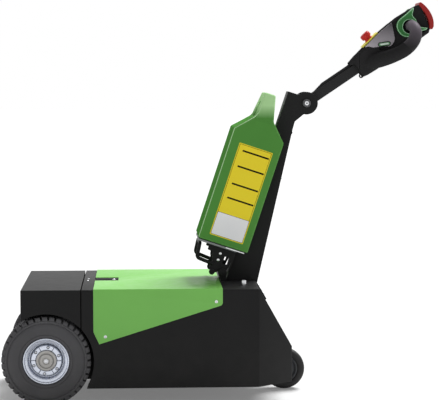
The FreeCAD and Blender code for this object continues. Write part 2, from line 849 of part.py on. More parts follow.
def castor_mount():
    """Top plate, fork with its bearing race and king pin, and the axle through its legs."""
    plate = new_body("castor_plate")
    half_length, half_width = "castor_plate_length / 2", "castor_plate_width / 2"
    outline = (f"-{half_length}", half_length, f"-{half_width}", half_width, "castor_plate_corner")
    king_pin_hole = ("0", "0", "king_pin_radius + running_gap")
    pad(plate, "XY", [outline, king_pin_hole], f"{SHELF_LOW} - castor_plate", SHELF_LOW)
    place(plate, x=CASTOR_X)
    fork = new_body("castor_fork")
    race_top = f"{SHELF_LOW} - castor_plate - seat_gap"
    crown_top = f"{race_top} - race_height"
    leg_in = "(castor_width / 2 + fork_gap)"
    leg_out = "(castor_width / 2 + fork_gap + fork_sheet)"
    side = [
        ("-crown_reach", crown_top),
        ("-crown_reach", f"{crown_top} - crown_height"),
        ("castor_trail - fork_toe", "castor_radius"),
        ("castor_trail + fork_toe", "castor_radius"),
        ("crown_reach + crown_overhang", f"{crown_top} - crown_height"),
        ("crown_reach + crown_overhang", crown_top),
    ]
    pad(fork, "XZ", [side], f"-{leg_out}", leg_out)
    pad(fork, "XZ", [("castor_trail", "castor_radius", "fork_toe")], f"-{leg_out}", leg_out)
    well = rectangle(f"-{leg_in}", leg_in, "0", f"{crown_top} - crown_height")
    pocket(fork, "YZ", [well], "-crown_reach - 1", "castor_trail + castor_radius")
    axle_hole = ("castor_trail", "castor_radius", "castor_axle_radius + running_gap")
    pocket(fork, "XZ", [axle_hole], f"-{leg_out}", leg_out)
    pad(fork, "XY", [("0", "0", "race_radius")], crown_top, race_top)
    pad(fork, "XY", [("0", "0", "king_pin_radius")], race_top, f"{SHELF_LOW} - bridge_gap")
    place(fork, x=CASTOR_X)
    axle = new_body("castor_axle")
    head = f"{leg_out} + castor_nut_height"
    revolve(axle, [
        ("0", f"-({head})"),
        ("castor_nut_radius", f"-({head})"),
        ("castor_nut_radius", f"-{leg_out}"),
        ("castor_axle_radius", f"-{leg_out}"),
        ("castor_axle_radius", leg_out),
        ("castor_nut_radius", leg_out),
        ("castor_nut_radius", head),
        ("0", head),
    ])
    place(axle, x=CASTOR_X + " + castor_trail", z="castor_radius")
    return [plate, fork, axle]


# ---------------------------------------------------------------- column

def pivot_point(dx, dz):
    """A place in the side view, given from the tiller's pivot."""
    return (f"{PIVOT_X} + ({dx})", f"pivot_height + ({dz})")


def column():
    """Leaning column: a channel open to the rear whose sides rise into two round ears."""
    body = new_body("column")
    across = ("-column_width / 2", "column_width / 2")
    side = [
        (FOOT_X, "body_height"),
        (BEND, "body_height"),
        (BEND + " + column_behind", f"body_height + 2 * foot_sheet - column_behind * {SLOPE}"),
        pivot_point("-41", "-76"),
        pivot_point("-35", "-55"),
        pivot_point("-8", "-33"),
        pivot_point("18", "28.8"),
        pivot_point("-24", "25.6"),
        pivot_point("-55", COLUMN_TOP_RISE),
    ]
    pad(body, "XZ", [side], *across)
    pad(body, "XZ", [(PIVOT_X, "pivot_height", "ear_radius")], *across)
    skin = "column_sheet / cos(column_lean)"
    inside = [
        (f"{FOOT_X} + {skin}", "body_height - 1"),
        (BEND + " + 60", "body_height - 1"),
        pivot_point("60", "-60"),
        pivot_point("60", "60"),
        pivot_point("-20", "60"),
        pivot_point("-20", "22"),
        pivot_point(f"-55 + {skin}", f"{COLUMN_TOP_RISE} - {skin}"),
    ]
    pocket(body, "XZ", [inside], f"-{COLUMN_INNER}", COLUMN_INNER)
    pocket(body, "XZ", [(PIVOT_X, "pivot_height", "pivot_bolt_radius + seat_gap")], *across)
    return body


def column_cover():
    """Closing plate set between the column's side walls."""
    body = new_body("column_cover")
    profile = [
        (BEND + " + column_behind - column_sheet - 2", "body_height + 2"),
        (BEND + " + column_behind - 1", "body_height + 2"),
        pivot_point("-42", "-80"),
        pivot_point("-46", "-80"),
    ]
    pad(body, "XZ", [profile], f"-{COLUMN_INNER}", COLUMN_INNER)
    return body


def column_foot():
    """Foot plate under the column's rear edge, lying down the rear slope."""
    body = new_body("column_foot")
    start = "column_behind + 1"
    profile = [
        (BEND + " + foot_sheet", f"body_height + seat_gap - foot_sheet * {SLOPE}"),
        (BEND + " + foot_reach", f"body_height + seat_gap - foot_reach * {SLOPE}"),
        (BEND + " + foot_reach + foot_sheet", f"body_height + foot_sheet - foot_reach * {SLOPE}"),
        (BEND + f" + {start}", f"body_height + 2 * foot_sheet - ({start}) * {SLOPE}"),
    ]
    pad(body, "XZ", [profile], "-column_width / 2 - foot_flange", "column_width / 2 + foot_flange")
    return body


def pivot_bolt():
    """Bolt through both ears and the tiller's hub, with a head and a nut."""
    body = new_body("pivot_bolt")
    out = "column_width / 2"
    head = f"{out} + pivot_head_height"
    revolve(body, [
        ("0", f"-({head})"),
        ("pivot_head_radius", f"-({head})"),
        ("pivot_head_radius", f"-{out}"),
        ("pivot_bolt_radius", f"-{out}"),
        ("pivot_bolt_radius", out),
        ("pivot_head_radius", out),
        ("pivot_head_radius", head),
        ("0", head),
    ])
    return place(body, x=PIVOT_X, z="pivot_height")


# ---------------------------------------------------------------- battery

def lean(piece):
    """Stand a battery piece on its leaning seat."""
    return place(piece, x=BATTERY_X, z=BATTERY_Z, axis=(0, 1, 0), angle="column_lean")


def battery_box():
    """Moulded battery can: sloping shoulders, round edges, a carrying handle, a column groove."""
    body = new_body("battery_box")
    side = [
        ("0", "0"),
        ("battery_length", "0"),
        ("battery_length", "battery_tall"),
        ("handle_end + 17", "battery_neck"),
        ("handle_end", "battery_top"),
        ("handle_start", "battery_top"),
        ("handle_start - 8", "battery_neck"),
        ("0", "battery_tall"),
    ]
    pad(body, "XZ", [side], "-battery_width / 2", "battery_width / 2")
    for sign in (-1, 1):
        trim = [
            (f"{sign} * battery_width / 2", "battery_neck - 8"),
            (f"{sign} * handle_span / 2", "battery_top"),
            (f"{sign} * battery_width", "battery_top"),
            (f"{sign} * battery_width", "battery_neck - 8"),
        ]
        pocket(body, "YZ", [trim], "0", "battery_length")
    fillet(body, "battery_round", lambda edge: True)
    opening = ("-handle_span / 2 + handle_bar", "handle_span / 2 - handle_bar",
               "battery_neck", "battery_top - handle_bar", "8")
    pocket(body, "YZ", [opening], "0", "battery_length")
    groove = rectangle("battery_length - groove_depth", "battery_length + 1",
                       "-column_width / 2 - groove_gap", "column_width / 2 + groove_gap")
    pocket(body, "XY", [groove], "0", "battery_top")
    parting = rectangle("-1", "parting_depth", "0", "battery_tall")
    pocket(body, "XZ", [parting], "-parting_width / 2", "parting_width / 2")
    return lean(body)


def battery_base():
    """Flat metal base under the battery can."""
    body = new_body("battery_base")
    half = "battery_width / 2 - base_inset"
    plan = ("base_inset", "battery_length - groove_depth", f"-({half})", half, "6")
    pad(body, "XY", [plan], "-base_sheet", "0")
    return lean(body)


def cradle_point(ahead, up):
    """A place on the cradle, given from the column's front and the battery's seat."""
    return (f"{STANDOFF} - ({ahead})", up)


def battery_cradle():
    """Tray and two cheeks, cut out and lobed, that carry the battery in front of the column."""
    body = new_body("battery_cradle")
    half = "cradle_spacing / 2"
    pad(body, "XY", [rectangle("30", STANDOFF, f"-{half}", half)], TRAY_LOW, "-base_sheet")
    back = rectangle(f"{STANDOFF} - cradle_sheet", STANDOFF, "-70", TRAY_LOW)
    pad(body, "XZ", [back], f"-{half}", half)
    # from the tray's front down the front edge, along the lobed foot and up the column
    cheek = [
        cradle_point("83.8", TRAY_LOW),
        cradle_point("83.8", "-30"),
        cradle_point("65.8", "-33"),
        cradle_point("63.5", "-50.4"),
        cradle_point("59.7", "-57.9"),
        cradle_point("63", "-74.4"),
        cradle_point("58.8", "-90"),
        cradle_point("42.8", "-92"),
        cradle_point("28.8", "-80"),
        cradle_point("12.8", "-84"),
        cradle_point("8.5", "-69.5"),
        cradle_point("0", "-22.9"),
        cradle_point("0", TRAY_LOW),
    ]
    window = [cradle_point("27.5", "-35.7"), cradle_point("12", "-34.4"),
              cradle_point("13.4", "-56.7"), cradle_point("28.9", "-58.2")]
    holes = [(*cradle_point("43.3", "-30.8"), "4"), (*cradle_point("43.7", "-51.3"), "4")]
    knob = (*cradle_point("51.2", "-90.3"), "knob_radius")
    for sign in (-1, 1):
        across = ordered(f"{sign} * {half}", f"{sign} * ({half} - cradle_sheet)")
        pad(body, "XZ", [cheek], *across)
        pad(body, "XZ", [(*KNUCKLE, "knuckle_lobe")], *across)
        pocket(body, "XZ", [window, *holes], *across)
        pocket(body, "XZ", [(*KNUCKLE, "cradle_pin_radius + seat_gap")], *across)
        pad(body, "XZ", [knob], *ordered(f"{sign} * {half}", f"{sign} * ({half} + knob_length)"))
        pad(body, "XZ", [knob], *across)
    return lean(body)


def bent_path(corners, bend):
    """Straight runs through the corners, joined by arcs of one bend radius."""
    points = [FreeCAD.Vector(*corner) for corner in corners]
    edges = []
    last = points[0]
    for before, corner, after in zip(points, points[1:], points[2:]):
        back, ahead = (before - corner).normalize(), (after - corner).normalize()
        half_turn = back.getAngle(ahead) / 2
        reach = bend / math.tan(half_turn)
        start, end = corner + back * reach, corner + ahead * reach
        middle = corner + (back + ahead).normalize() * (bend / math.sin(half_turn) - bend)
        edges.append(Part.makeLine(last, start))
        edges.append(Part.Arc(start, middle, end).toShape())
        last = end
    edges.append(Part.makeLine(last, points[-1]))
    return Part.Wire(edges)


def round_bar(label, path, radius):
    """A round bar swept along a path, which no sketch in one plane could carry."""
    first = path.Edges[0]
    ahead = first.tangentAt(first.FirstParameter)
    ring = Part.Wire(Part.Circle(first.valueAt(first.FirstParameter), ahead, radius).toShape())
    feature = doc.addObject("Part::Feature", label)
    feature.Label = label
    feature.Shape = path.makePipeShell([ring], True, True)
    return feature


def cradle_bail():
    """Bent bar ahead of the cheeks, by which the battery's seat is swung free."""
    half = value("cradle_spacing / 2 + bail_radius")
    side = [cradle_point("55.8", "-66.5"), cradle_point("107.7", "-62.8"), cradle_point("112", "-19")]
    near = [(value(ahead), -half, value(up)) for ahead, up in side]
    corners = near + [(ahead, -across, up) for ahead, across, up in reversed(near)]
    bar = round_bar("cradle_bail", bent_path(corners, value("bail_bend")), value("bail_radius"))
    return lean(bar)


def cradle_bracket():
    """Bracket bolted to the deck whose two ears carry the knuckle pin of the cradle."""
    body = new_body("cradle_bracket")
    knuckle_x = f"{BATTERY_X} + ({KNUCKLE[0]}) * cos(column_lean) + ({KNUCKLE[1]}) * sin(column_lean)"
    knuckle_z = f"{BATTERY_Z} - ({KNUCKLE[0]}) * sin(column_lean) + ({KNUCKLE[1]}) * cos(column_lean)"
    outer = "cradle_spacing / 2 - cradle_sheet - seat_gap"
    inner = f"{outer} - bracket_sheet"
    front, rear = HOOD_REAR + " + 2 * fold_radius", FOOT_X
    base = rectangle(front, rear, f"-({outer})", outer)
    pad(body, "XY", [base], "body_height", "body_height + bracket_sheet")
    ear = [
        (front, "body_height"),
        (rear, "body_height"),
        (f"{knuckle_x} + bracket_ear", knuckle_z),
        (f"{knuckle_x} - bracket_ear", knuckle_z),
    ]
    for sign in (-1, 1):
        across = ordered(f"{sign} * ({outer})", f"{sign} * ({inner})")
        pad(body, "XZ", [ear], *across)
        pad(body, "XZ", [(knuckle_x, knuckle_z, "bracket_ear")], *across)
    pin_end = "cradle_spacing / 2 + seat_gap"
    pad(body, "XZ", [(knuckle_x, knuckle_z, "cradle_pin_radius")], f"-({pin_end})", pin_end)
    for sign in (-1, 1):
        head = ordered(f"{sign} * ({pin_end})", f"{sign} * ({pin_end} + 5)")
        pad(body, "XZ", [(knuckle_x, knuckle_z, "knuckle_radius")], *head)
    return body


# ---------------------------------------------------------------- tiller

def tilted(piece):
    """Set a tiller piece at the pivot, turned up to the arm's angle."""
    return place(piece, x=PIVOT_X, z="pivot_height", axis=(0, -1, 0), angle="arm_angle")


def tiller_arm():
    """Square tube with a cross hub that turns on the pivot bolt."""
    body = new_body("tiller_arm")
    half = "arm_size / 2"
    pad(body, "XZ", [rectangle("-arm_tail", "arm_reach", f"-{half}", half)], f"-{half}", half)
    fillet(body, "fold_radius", lambda edge: runs_along(edge, AXIS_X))
    inner = "arm_size / 2 - arm_wall"
    pocket(body, "YZ", [rectangle(f"-({inner})", inner, f"-({inner})", inner)], "-arm_tail", "arm_reach")
    hub_half = f"{COLUMN_INNER} - hub_side_gap"
    pad(body, "XZ", [("0", "0", "hub_radius")], f"-({hub_half})", hub_half)
    pocket(body, "XZ", [("0", "0", "pivot_bolt_radius + running_gap")], f"-({hub_half})", hub_half)
    return tilted(body)


def cable_cover():
    """Thin cover strip along the arm's top."""
    body = new_body("cable_cover")
    profile = [
        ("hub_radius + 25", "arm_size / 2"),
        ("head_start - neck_reach - bridge_gap", "arm_size / 2"),
        ("head_start - neck_reach - bridge_gap", "arm_size / 2 + cable_cover"),
        ("hub_radius + 60", "arm_size / 2 + cable_cover"),
    ]
    pad(body, "XZ", [profile], "-cable_cover", "cable_cover")
    return tilted(body)


# Far face of the control head from its underside to its top, where the red band seats:
# (beyond head_end, up from the arm's middle).
NOSE_FACE = [("-3", "-21"), ("7.5", "0"), ("10.5", "26"), ("5", "54")]

# Edge of the raised console on the head's flank, from its low point up to the top.
CONSOLE_EDGE = [
    ("281", "-0.5"),
    ("303", "2"),
    ("314.5", "4.3"),
    ("325.5", "10.5"),
    ("333.5", "27"),
    ("347", "66"),
]


def nose_point(beyond, up):
    """A place on the head's side view, given from the head's far end."""
    return (f"head_end + ({beyond})", up)


def tiller_head():
    """Moulded body of the control head: lofted shell, neck, recessed flanks and an eye below."""
    body = new_body("tiller_head")
    half = "head_width / 2"
    # station along the arm, half width, underside, top, corner radius
    sections = [
        ("head_start", f"{half} - 8", "-31", "31", "8"),
        ("head_start + 13", f"{half} - 4", "-33.5", "34", "10"),
        ("head_start + 42", half, "-35", "40", "head_round"),
        ("head_start + 113", half, "-34", "53", "head_round"),
        ("head_start + 185", half, "-33", "60", "head_round"),
        ("head_end - 10", half, "-31", "58", "head_round"),
    ]
    loft(body, "YZ", [
        (station, (f"-({side})", side, low, high, corner)) for station, side, low, high, corner in sections
    ])
    nose = [nose_point("-14", "-30"), nose_point("-10", "-31")]
    nose += [nose_point(*corner) for corner in NOSE_FACE]
    nose += [nose_point("-10", "58"), nose_point("-14", "57")]
    pad(body, "XZ", [nose], f"-({half} - nose_inset)", f"{half} - nose_inset")
    neck = [
        ("head_start - neck_reach", "neck_low"),
        ("head_start + 1", "13.4"),
        ("head_start + 1", "31"),
        ("head_start - neck_reach", "neck_high"),
    ]
    pad(body, "XZ", [neck], f"-({half} - 12)", f"{half} - 12")
    eye = ("head_start - 1", "-26.5")
    pad(body, "XZ", [(*eye, "eye_radius")], "-eye_sheet / 2", "eye_sheet / 2")
    beyond = "head_end + band_sheet"
    recess = [*CONSOLE_EDGE, (beyond, "66"), (beyond, "-21"), ("316", "-12")]
    for sign in (-1, 1):
        across = ordered(f"{sign} * ({half} - recess_depth)", f"{sign} * ({half} + 1)")
        pocket(body, "XZ", [recess], *across)
    sleeve = "arm_size / 2"
    square = rectangle(f"-{sleeve}", sleeve, f"-{sleeve}", sleeve)
    pocket(body, "YZ", [square], "head_start - neck_reach - 1", "arm_reach")
    pocket(body, "XZ", [(f"{eye[0]} - 1.5", eye[1], "eye_hole")], "-eye_sheet / 2", "eye_sheet / 2")
    return tilted(body)


def belly_switch():
    """Red impact band round the head's far end."""
    body = new_body("belly_switch")
    crown = nose_point("band_sheet + 2", "61")
    outline = [nose_point(*corner) for corner in NOSE_FACE]
    outline += [
        nose_point("3.5", "63"),
        crown,
        nose_point("band_sheet + 11", "30"),
        nose_point("band_sheet + 9", "1"),
        nose_point("band_sheet - 3.5", "-23"),
        nose_point("3", "-28"),
    ]
    pad(body, "XZ", [outline], "-head_width / 2", "head_width / 2")
    corner = {"x": crown[0], "z": crown[1]}
    fillet(body, "band_round", lambda edge: runs_along(edge, AXIS_Y) and lies_at(edge, **corner))
    return tilted(body)


def stop_button():
    """Red mushroom button on its collar."""
    body = new_body("stop_button")
    profile = [
        ("0", "0"),
        ("stop_collar", "0"),
        ("stop_collar", "stop_collar_height"),
        ("stop_radius", "stop_collar_height + 2"),
        ("stop_radius", "stop_height - 4"),
        ("stop_radius - 2", "stop_height - 1.2"),
        ("stop_radius - 7", "stop_height"),
        ("0", "stop_height"),
    ]
    sketch = new_sketch(body, "XZ", 0, [profile])
    sketch.AttachmentOffset = FreeCAD.Placement(FreeCAD.Vector(), FreeCAD.Rotation(AXIS_Z, 1))
    sketch.setExpression("AttachmentOffset.Rotation.Angle", bound("stop_slope"))
    sketch.setExpression("AttachmentOffset.Base.x", bound("stop_along"))
    sketch.setExpression("AttachmentOffset.Base.y", bound("stop_up + 0.1"))
    feature = body.newObject("PartDesign::Revolution", f"{body.Name}Revolution")
    feature.Profile = sketch
    feature.ReferenceAxis = (sketch, ["V_Axis"])
    feature.Angle = 360
    return tilted(body)


def stop_plate():
    """Yellow plate under the mushroom button."""
    body = new_body("stop_plate")
    rise = "tan(stop_slope)"
    reach = "stop_plate_length / 2"
    low, high = "stop_up - stop_plate_sheet", "stop_up"
    profile = [
        (f"stop_along - {reach}", f"{low} - {reach} * {rise}"),
        (f"stop_along + {reach}", f"{low} + {reach} * {rise}"),
        (f"stop_along + {reach}", f"{high} + {reach} * {rise}"),
        (f"stop_along - {reach}", f"{high} - {reach} * {rise}"),
    ]
    pad(body, "XZ", [profile], "-stop_plate_width / 2", "stop_plate_width / 2")
    return tilted(body)


def horn_buttons():
    """A pair of oval push buttons, one on each flank of the head."""
    body = new_body("horn_buttons")
    along = ("cos(horn_tilt)", "sin(horn_tilt)")
    ends = [
        (f"horn_along + {sign} * horn_reach * {along[0]}", f"horn_up + {sign} * horn_reach * {along[1]}")
        for sign in (-1, 1)
    ]
    corners = [(*ends[0], 1), (*ends[1], 1), (*ends[1], -1), (*ends[0], -1)]
    middle = [
        (f"{x} + {sign} * horn_radius * {along[1]}", f"{y} - {sign} * horn_radius * {along[0]}")
        for x, y, sign in corners
    ]
    for sign in (-1, 1):
        across = ordered(f"{sign} * (head_width / 2 + 0.1)", f"{sign} * (head_width / 2 + horn_rise)")
        pad(body, "XZ", [middle], *across)
        for end in ends:
            pad(body, "XZ", [(*end, "horn_radius")], *across)
    return tilted(body)


def around(radius, bearing):
    """A place given by its distance and bearing from the paddle's middle."""
    return (f"paddle_along + ({radius}) * cos({bearing})", f"paddle_up + ({radius}) * sin({bearing})")


def paddle(side, sign):
    """Two-horned thumb paddle whose ring lies in the head's recess, round the grip's root."""
    body = new_body(f"paddle_{side}")
    floor = f"{sign} * (head_width / 2 - recess_depth + seat_gap)"
    across = ordered(floor, f"{sign} * (head_width / 2 + paddle_proud)")
    pad(body, "XZ", [("paddle_along", "paddle_up", "paddle_radius")], *across)
    tip_reach = "paddle_reach - paddle_tip"
    root = ("paddle_radius - 2", 32)
    shoulder = (tip_reach, 6)
    for lean_sign in (-1, 1):
        bearing = f"{lean_sign} * paddle_spread"
        flanks = [(root[0], -root[1]), (shoulder[0], -shoulder[1]), shoulder, root]
        horn = [around(radius, f"{bearing} + ({turn})") for radius, turn in flanks]
        pad(body, "XZ", [horn], *across)
        pad(body, "XZ", [(*around(tip_reach, bearing), "paddle_tip")], *across)
    hole = ("grip_along - paddle_offset", "grip_up", "grip_radius + paddle_offset + bridge_gap")
    pocket(body, "XZ", [hole], *across)
    return tilted(body)


def grip_loop(side, sign, head):
    """Hand guard lofted through rings: it leaves the head low and thick, bows out and
    comes back across as the round hand grip."""
    along, up, radius = value("grip_along"), value("grip_up"), value("grip_radius")
    reach = value("grip_span / 2 - grip_radius")
    stations = [
        (along - 176, 12, up - 20, radius + 3.5),
        (along - 150, 32, up - 27, radius + 7.5),
        (along - 126, 56, up - 35, radius + 7),
        (along - 96, reach - 23, up - 42, radius + 5.5),
        (along - 60, reach - 3, up - 45, radius + 4.5),
        (along - 28, reach, up - 37, radius + 3.5),
        (along - 9, reach - 6, up - 22, radius + 2.5),
        (along - 1.5, reach - 22, up - 8, radius + 1.2),
        (along, reach - 43, up, radius),
        (along, reach - 63, up, radius),
        (along, 24, up, radius),
    ]
    points = [FreeCAD.Vector(p, sign * y, q) for p, y, q, _ in stations]
    centre_line = Part.BSplineCurve()
    centre_line.interpolate(points)
    rings = []
    for point, (_, _, _, size) in zip(points, stations):
        ahead = FreeCAD.Vector(*centre_line.tangent(centre_line.parameter(point))[0])
        rings.append(Part.Wire(Part.Circle(point, ahead, size).toShape()))
    shell = head.Shape.copy()
    shell.Placement = FreeCAD.Placement()
    loop = doc.addObject("Part::Feature", f"grip_loop_{side}")
    loop.Label = f"grip_loop_{side}"
    loop.Shape = Part.makeLoft(rings, True).cut(shell)
    return tilted(loop)


# ---------------------------------------------------------------- whole machine

def export(parts):
    """Check every object, then write one STEP file for each sub-part."""
    doc.recompute()
    for obj in doc.Objects:
        if "Invalid" in obj.State or "Error" in obj.State:
            raise RuntimeError(f"{obj.Label} did not build: {obj.State}")
    for part in parts:
        if part.Shape.isNull() or not part.Shape.isValid():
            raise RuntimeError(f"{part.Label} has no valid shape")
    os.makedirs("parts", exist_ok=True)
    for part in parts:
        part.Shape.exportStep(f"parts/{part.Label}.step")
        print(f"{part.Label}: {len(part.Shape.Solids)} solid(s), {part.Shape.Volume / 1000:.1f} cm3")


parts = [
    side_panel("left", -1),
    side_panel("right", 1),
    front_cover(),
    front_bridge(),
    deck_plate(),
    hood(),
    slope_panel(),
    floor_pan(),
    front_bulkhead(),
    castor_shelf(),
    frame_rails(),
    axle_housing(),
    drive_motor(),
    hitch_plate(),
    tow_jaw(),
    column(),
    column_cover(),
    column_foot(),
    pivot_bolt(),
    battery_box(),
    battery_base(),
    battery_cradle(),
    cradle_bail(),
    cradle_bracket(),
    tiller_arm(),
    cable_cover(),
    belly_switch(),
    stop_plate(),
    stop_button(),
    horn_buttons(),
]
head = tiller_head()
parts.append(head)
for side, sign in (("left", -1), ("right", 1)):
    parts += drive_wheel(side, sign)
    parts += [grip_loop(side, sign, head), paddle(side, sign)]
parts += castor_wheel()
parts += castor_mount()
export(parts)
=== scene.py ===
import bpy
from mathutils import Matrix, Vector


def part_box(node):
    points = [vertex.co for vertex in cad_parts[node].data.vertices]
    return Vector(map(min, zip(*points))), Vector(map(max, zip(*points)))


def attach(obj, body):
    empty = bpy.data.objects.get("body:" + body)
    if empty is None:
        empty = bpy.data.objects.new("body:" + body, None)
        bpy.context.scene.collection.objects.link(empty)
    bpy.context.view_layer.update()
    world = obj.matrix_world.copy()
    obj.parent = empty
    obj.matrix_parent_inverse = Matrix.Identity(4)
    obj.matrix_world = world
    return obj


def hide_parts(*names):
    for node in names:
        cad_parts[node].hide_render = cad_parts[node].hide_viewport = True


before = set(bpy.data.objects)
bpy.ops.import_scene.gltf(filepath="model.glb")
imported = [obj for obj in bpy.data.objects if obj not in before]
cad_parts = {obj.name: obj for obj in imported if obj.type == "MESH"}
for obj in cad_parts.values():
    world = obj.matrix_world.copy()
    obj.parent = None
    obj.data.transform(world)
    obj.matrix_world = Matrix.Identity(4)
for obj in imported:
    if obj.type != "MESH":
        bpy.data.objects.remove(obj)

"""Looks of the electric tow tug: detailed meshes, finishes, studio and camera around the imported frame.

Meshes are laid out in millimetres and written to Blender in metres.  The machine stands with
+Z up, its towing end towards -X and the operator's end towards +X; left is the operator's left, -Y.
"""

import functools
import logging
import math
from dataclasses import dataclass, replace
from enum import Enum
from typing import Iterable, Sequence

import bmesh
import bpy
from mathutils import Matrix, Vector

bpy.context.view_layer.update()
LOG = logging.getLogger("tow_tug")
MM = 0.001
SHARP = 32.0
UP = Vector((0, 0, 1))
Point2 = tuple[float, float]
Point3 = tuple[float, float, float]
Color = tuple[float, float, float]
Thing = bpy.types.Object
Socket = bpy.types.NodeSocket
Vertex = bmesh.types.BMVert
Inputs = dict[str | int, object]


class Body(Enum):
    """The rigid bodies of the frame that pieces ride on."""

    CHASSIS = "chassis"
    LEFT_WHEEL = "drive_wheel_left"
    RIGHT_WHEEL = "drive_wheel_right"
    CASTOR_SWIVEL = "castor_swivel"
    CASTOR_WHEEL = "castor_wheel"
    TILLER = "tiller"


class Slot(Enum):
    """The record's material slots."""

    BLACK_PAINT = "black_paint"
    GREEN_PAINT = "green_paint"
    GREEN_PLASTIC = "green_plastic"
    BLACK_PLASTIC = "black_plastic"
    RED_PLASTIC = "red_plastic"
    YELLOW_PLASTIC = "yellow_plastic"
    TYRE = "tyre"
    RIM_SILVER = "rim_silver"
    HUB_GREY = "hub_grey"
    ZINC = "zinc"
    GREY_PLASTIC = "grey_plastic"
    CAST_GREY = "cast_grey"


class Side(Enum):
    """The two sides of the machine, with the sign of their Y direction."""

    LEFT = -1
    RIGHT = 1

    @property
    def word(self) -> str:
        """The side's name in node and piece names."""
        return self.name.lower()

    @property
    def out(self) -> Vector:
        """The direction away from the machine's middle."""
        return Vector((0, self.value, 0))

    def span(self, first: float, second: float) -> list[float]:
        """Two distances from the middle as places along Y, in rising order."""
        return sorted((self.value * first, self.value * second))


# ------------------------------------------------------------------ finishes


class Graph:
    """A node tree under construction: adds nodes and links them with little writing."""

    MIX_FIRST, MIX_SECOND, MIX_RESULT = 6, 7, 2

    def __init__(self, tree: bpy.types.NodeTree, end: str) -> None:
        """Take over a tree.

        Args:
            tree: the node tree.
            end: the type of the node that gets the results.
        """
        self.tree = tree
        self.end = next(node for node in tree.nodes if node.type == end)

    def feed(self, node: bpy.types.Node, inputs: Inputs) -> None:
        """Link sockets to a node's inputs or write constants on them.

        Args:
            node: the node.
            inputs: a socket or a constant for each input.
        """
        for name, value in inputs.items():
            if isinstance(value, Socket):
                self.tree.links.new(value, node.inputs[name])
            else:
                node.inputs[name].default_value = value

    def node(self, kind: str, inputs: Inputs, output: str | int = 0, **options: object) -> Socket:
        """Add a node.

        Args:
            kind: Blender's name for the kind of node.
            inputs: a socket or a constant for each input.
            output: the output that is wanted.
            options: the node's own options.

        Returns:
            The output's socket.
        """
        node = self.tree.nodes.new(f"ShaderNode{kind}")
        for name, value in options.items():
            setattr(node, name, value)
        self.feed(node, inputs)
        return node.outputs[output]

    def ramp(self, source: Socket, low: float, high: float, out_low: float, out_high: float) -> Socket:
        """Map the range from low to high onto the one from out_low to out_high."""
        limits = {"From Min": low, "From Max": high, "To Min": out_low, "To Max": out_high}
        return self.node("MapRange", {"Value": source, **limits}, "Result")

    def math(self, operation: str, first: Socket | float, second: Socket | float) -> Socket:
        """Combine two values by the operation that Blender knows by this name."""
        return self.node("Math", {0: first, 1: second}, operation=operation)

    def mix(self, share: Socket, first: Socket | Color, second: Socket | Color) -> Socket:
        """Mix two colours.

        Args:
            share: 0 for the first colour, 1 for the second, or a mixture between.
            first: a colour or a socket.
            second: a colour or a socket.

        Returns:
            The mixture's socket.
        """
        first, second = (value if isinstance(value, Socket) else (*value, 1.0) for value in (first, second))
        inputs = {0: share, self.MIX_FIRST: first, self.MIX_SECOND: second}
        return self.node("Mix", inputs, self.MIX_RESULT, data_type="RGBA")

    def seen(self) -> Socket:
        """A value for what the eye meets, straight or by a reflection.

        Returns:
            A socket with 1 for camera, glossy and transmission rays, and 0 for all others.
        """
        path = self.tree.nodes.new("ShaderNodeLightPath").outputs
        mirrored = self.math("MAXIMUM", path["Is Camera Ray"], path["Is Glossy Ray"])
        return self.math("MAXIMUM", mirrored, path["Is Transmission Ray"])


@dataclass(frozen=True)
class Pattern:
    """A noise: cells for each metre, octaves, and the two values between which it is spread."""

    scale: float
    detail: float
    low: float
    high: float


class Paint(Graph):
    """A material's node tree, ending in its surface shader."""

    def __init__(self, name: str) -> None:
        """Start a material.

        Args:
            name: the material's name.
        """
        self.material = bpy.data.materials.new(name)
        self.material.use_nodes = True
        super().__init__(self.material.node_tree, "BSDF_PRINCIPLED")
        self.place = self.node("TexCoord", {}, "Object")

    def noise(self, scale: float, detail: float, rough: float = 0.55) -> Socket:
        """Add a noise on object coordinates: cells for each metre, octaves and the finer ones' weight."""
        inputs = {"Vector": self.place, "Scale": scale, "Detail": detail, "Roughness": rough}
        return self.node("TexNoise", inputs, "Fac")

    def patches(self, pattern: Pattern, low: float, high: float) -> Socket:
        """Spread a pattern from one value to another."""
        return self.ramp(self.noise(pattern.scale, pattern.detail), pattern.low, pattern.high, low, high)

    def height(self) -> Socket:
        """The height above the floor, in metres."""
        return self.node("SeparateXYZ", {0: self.place}, "Z")

    def openness(self, reach: float, inside: bool) -> Socket:
        """How free the surface is, 1 on flats; a look inside finds edges, a look outside finds hollows."""
        options = {"inside": inside, "only_local": True, "samples": 6}
        return self.node("AmbientOcclusion", {"Distance": reach}, "AO", **options)

    def relief(self, source: Socket, grain: "Grain", **under: Socket) -> Socket:
        """Add relief of a grain's depth and strength, laid on another relief's Normal if one is given."""
        inputs = {"Height": source, "Strength": grain.strength, "Distance": grain.depth, **under}
        return self.node("Bump", inputs, "Normal")


@dataclass(frozen=True)
class Grain:
    """Fine relief: cells for each metre, depth in metres and the share of it that shows."""

    scale: float = 1400.0
    depth: float = 0.00008
    strength: float = 0.35


@dataclass(frozen=True)
class Wear:
    """Edges in a second colour, partly real wear and partly painted highlight: the share of that colour and
    how far it reaches, in metres.
    """

    share: float = 0.35
    width: float = 0.002


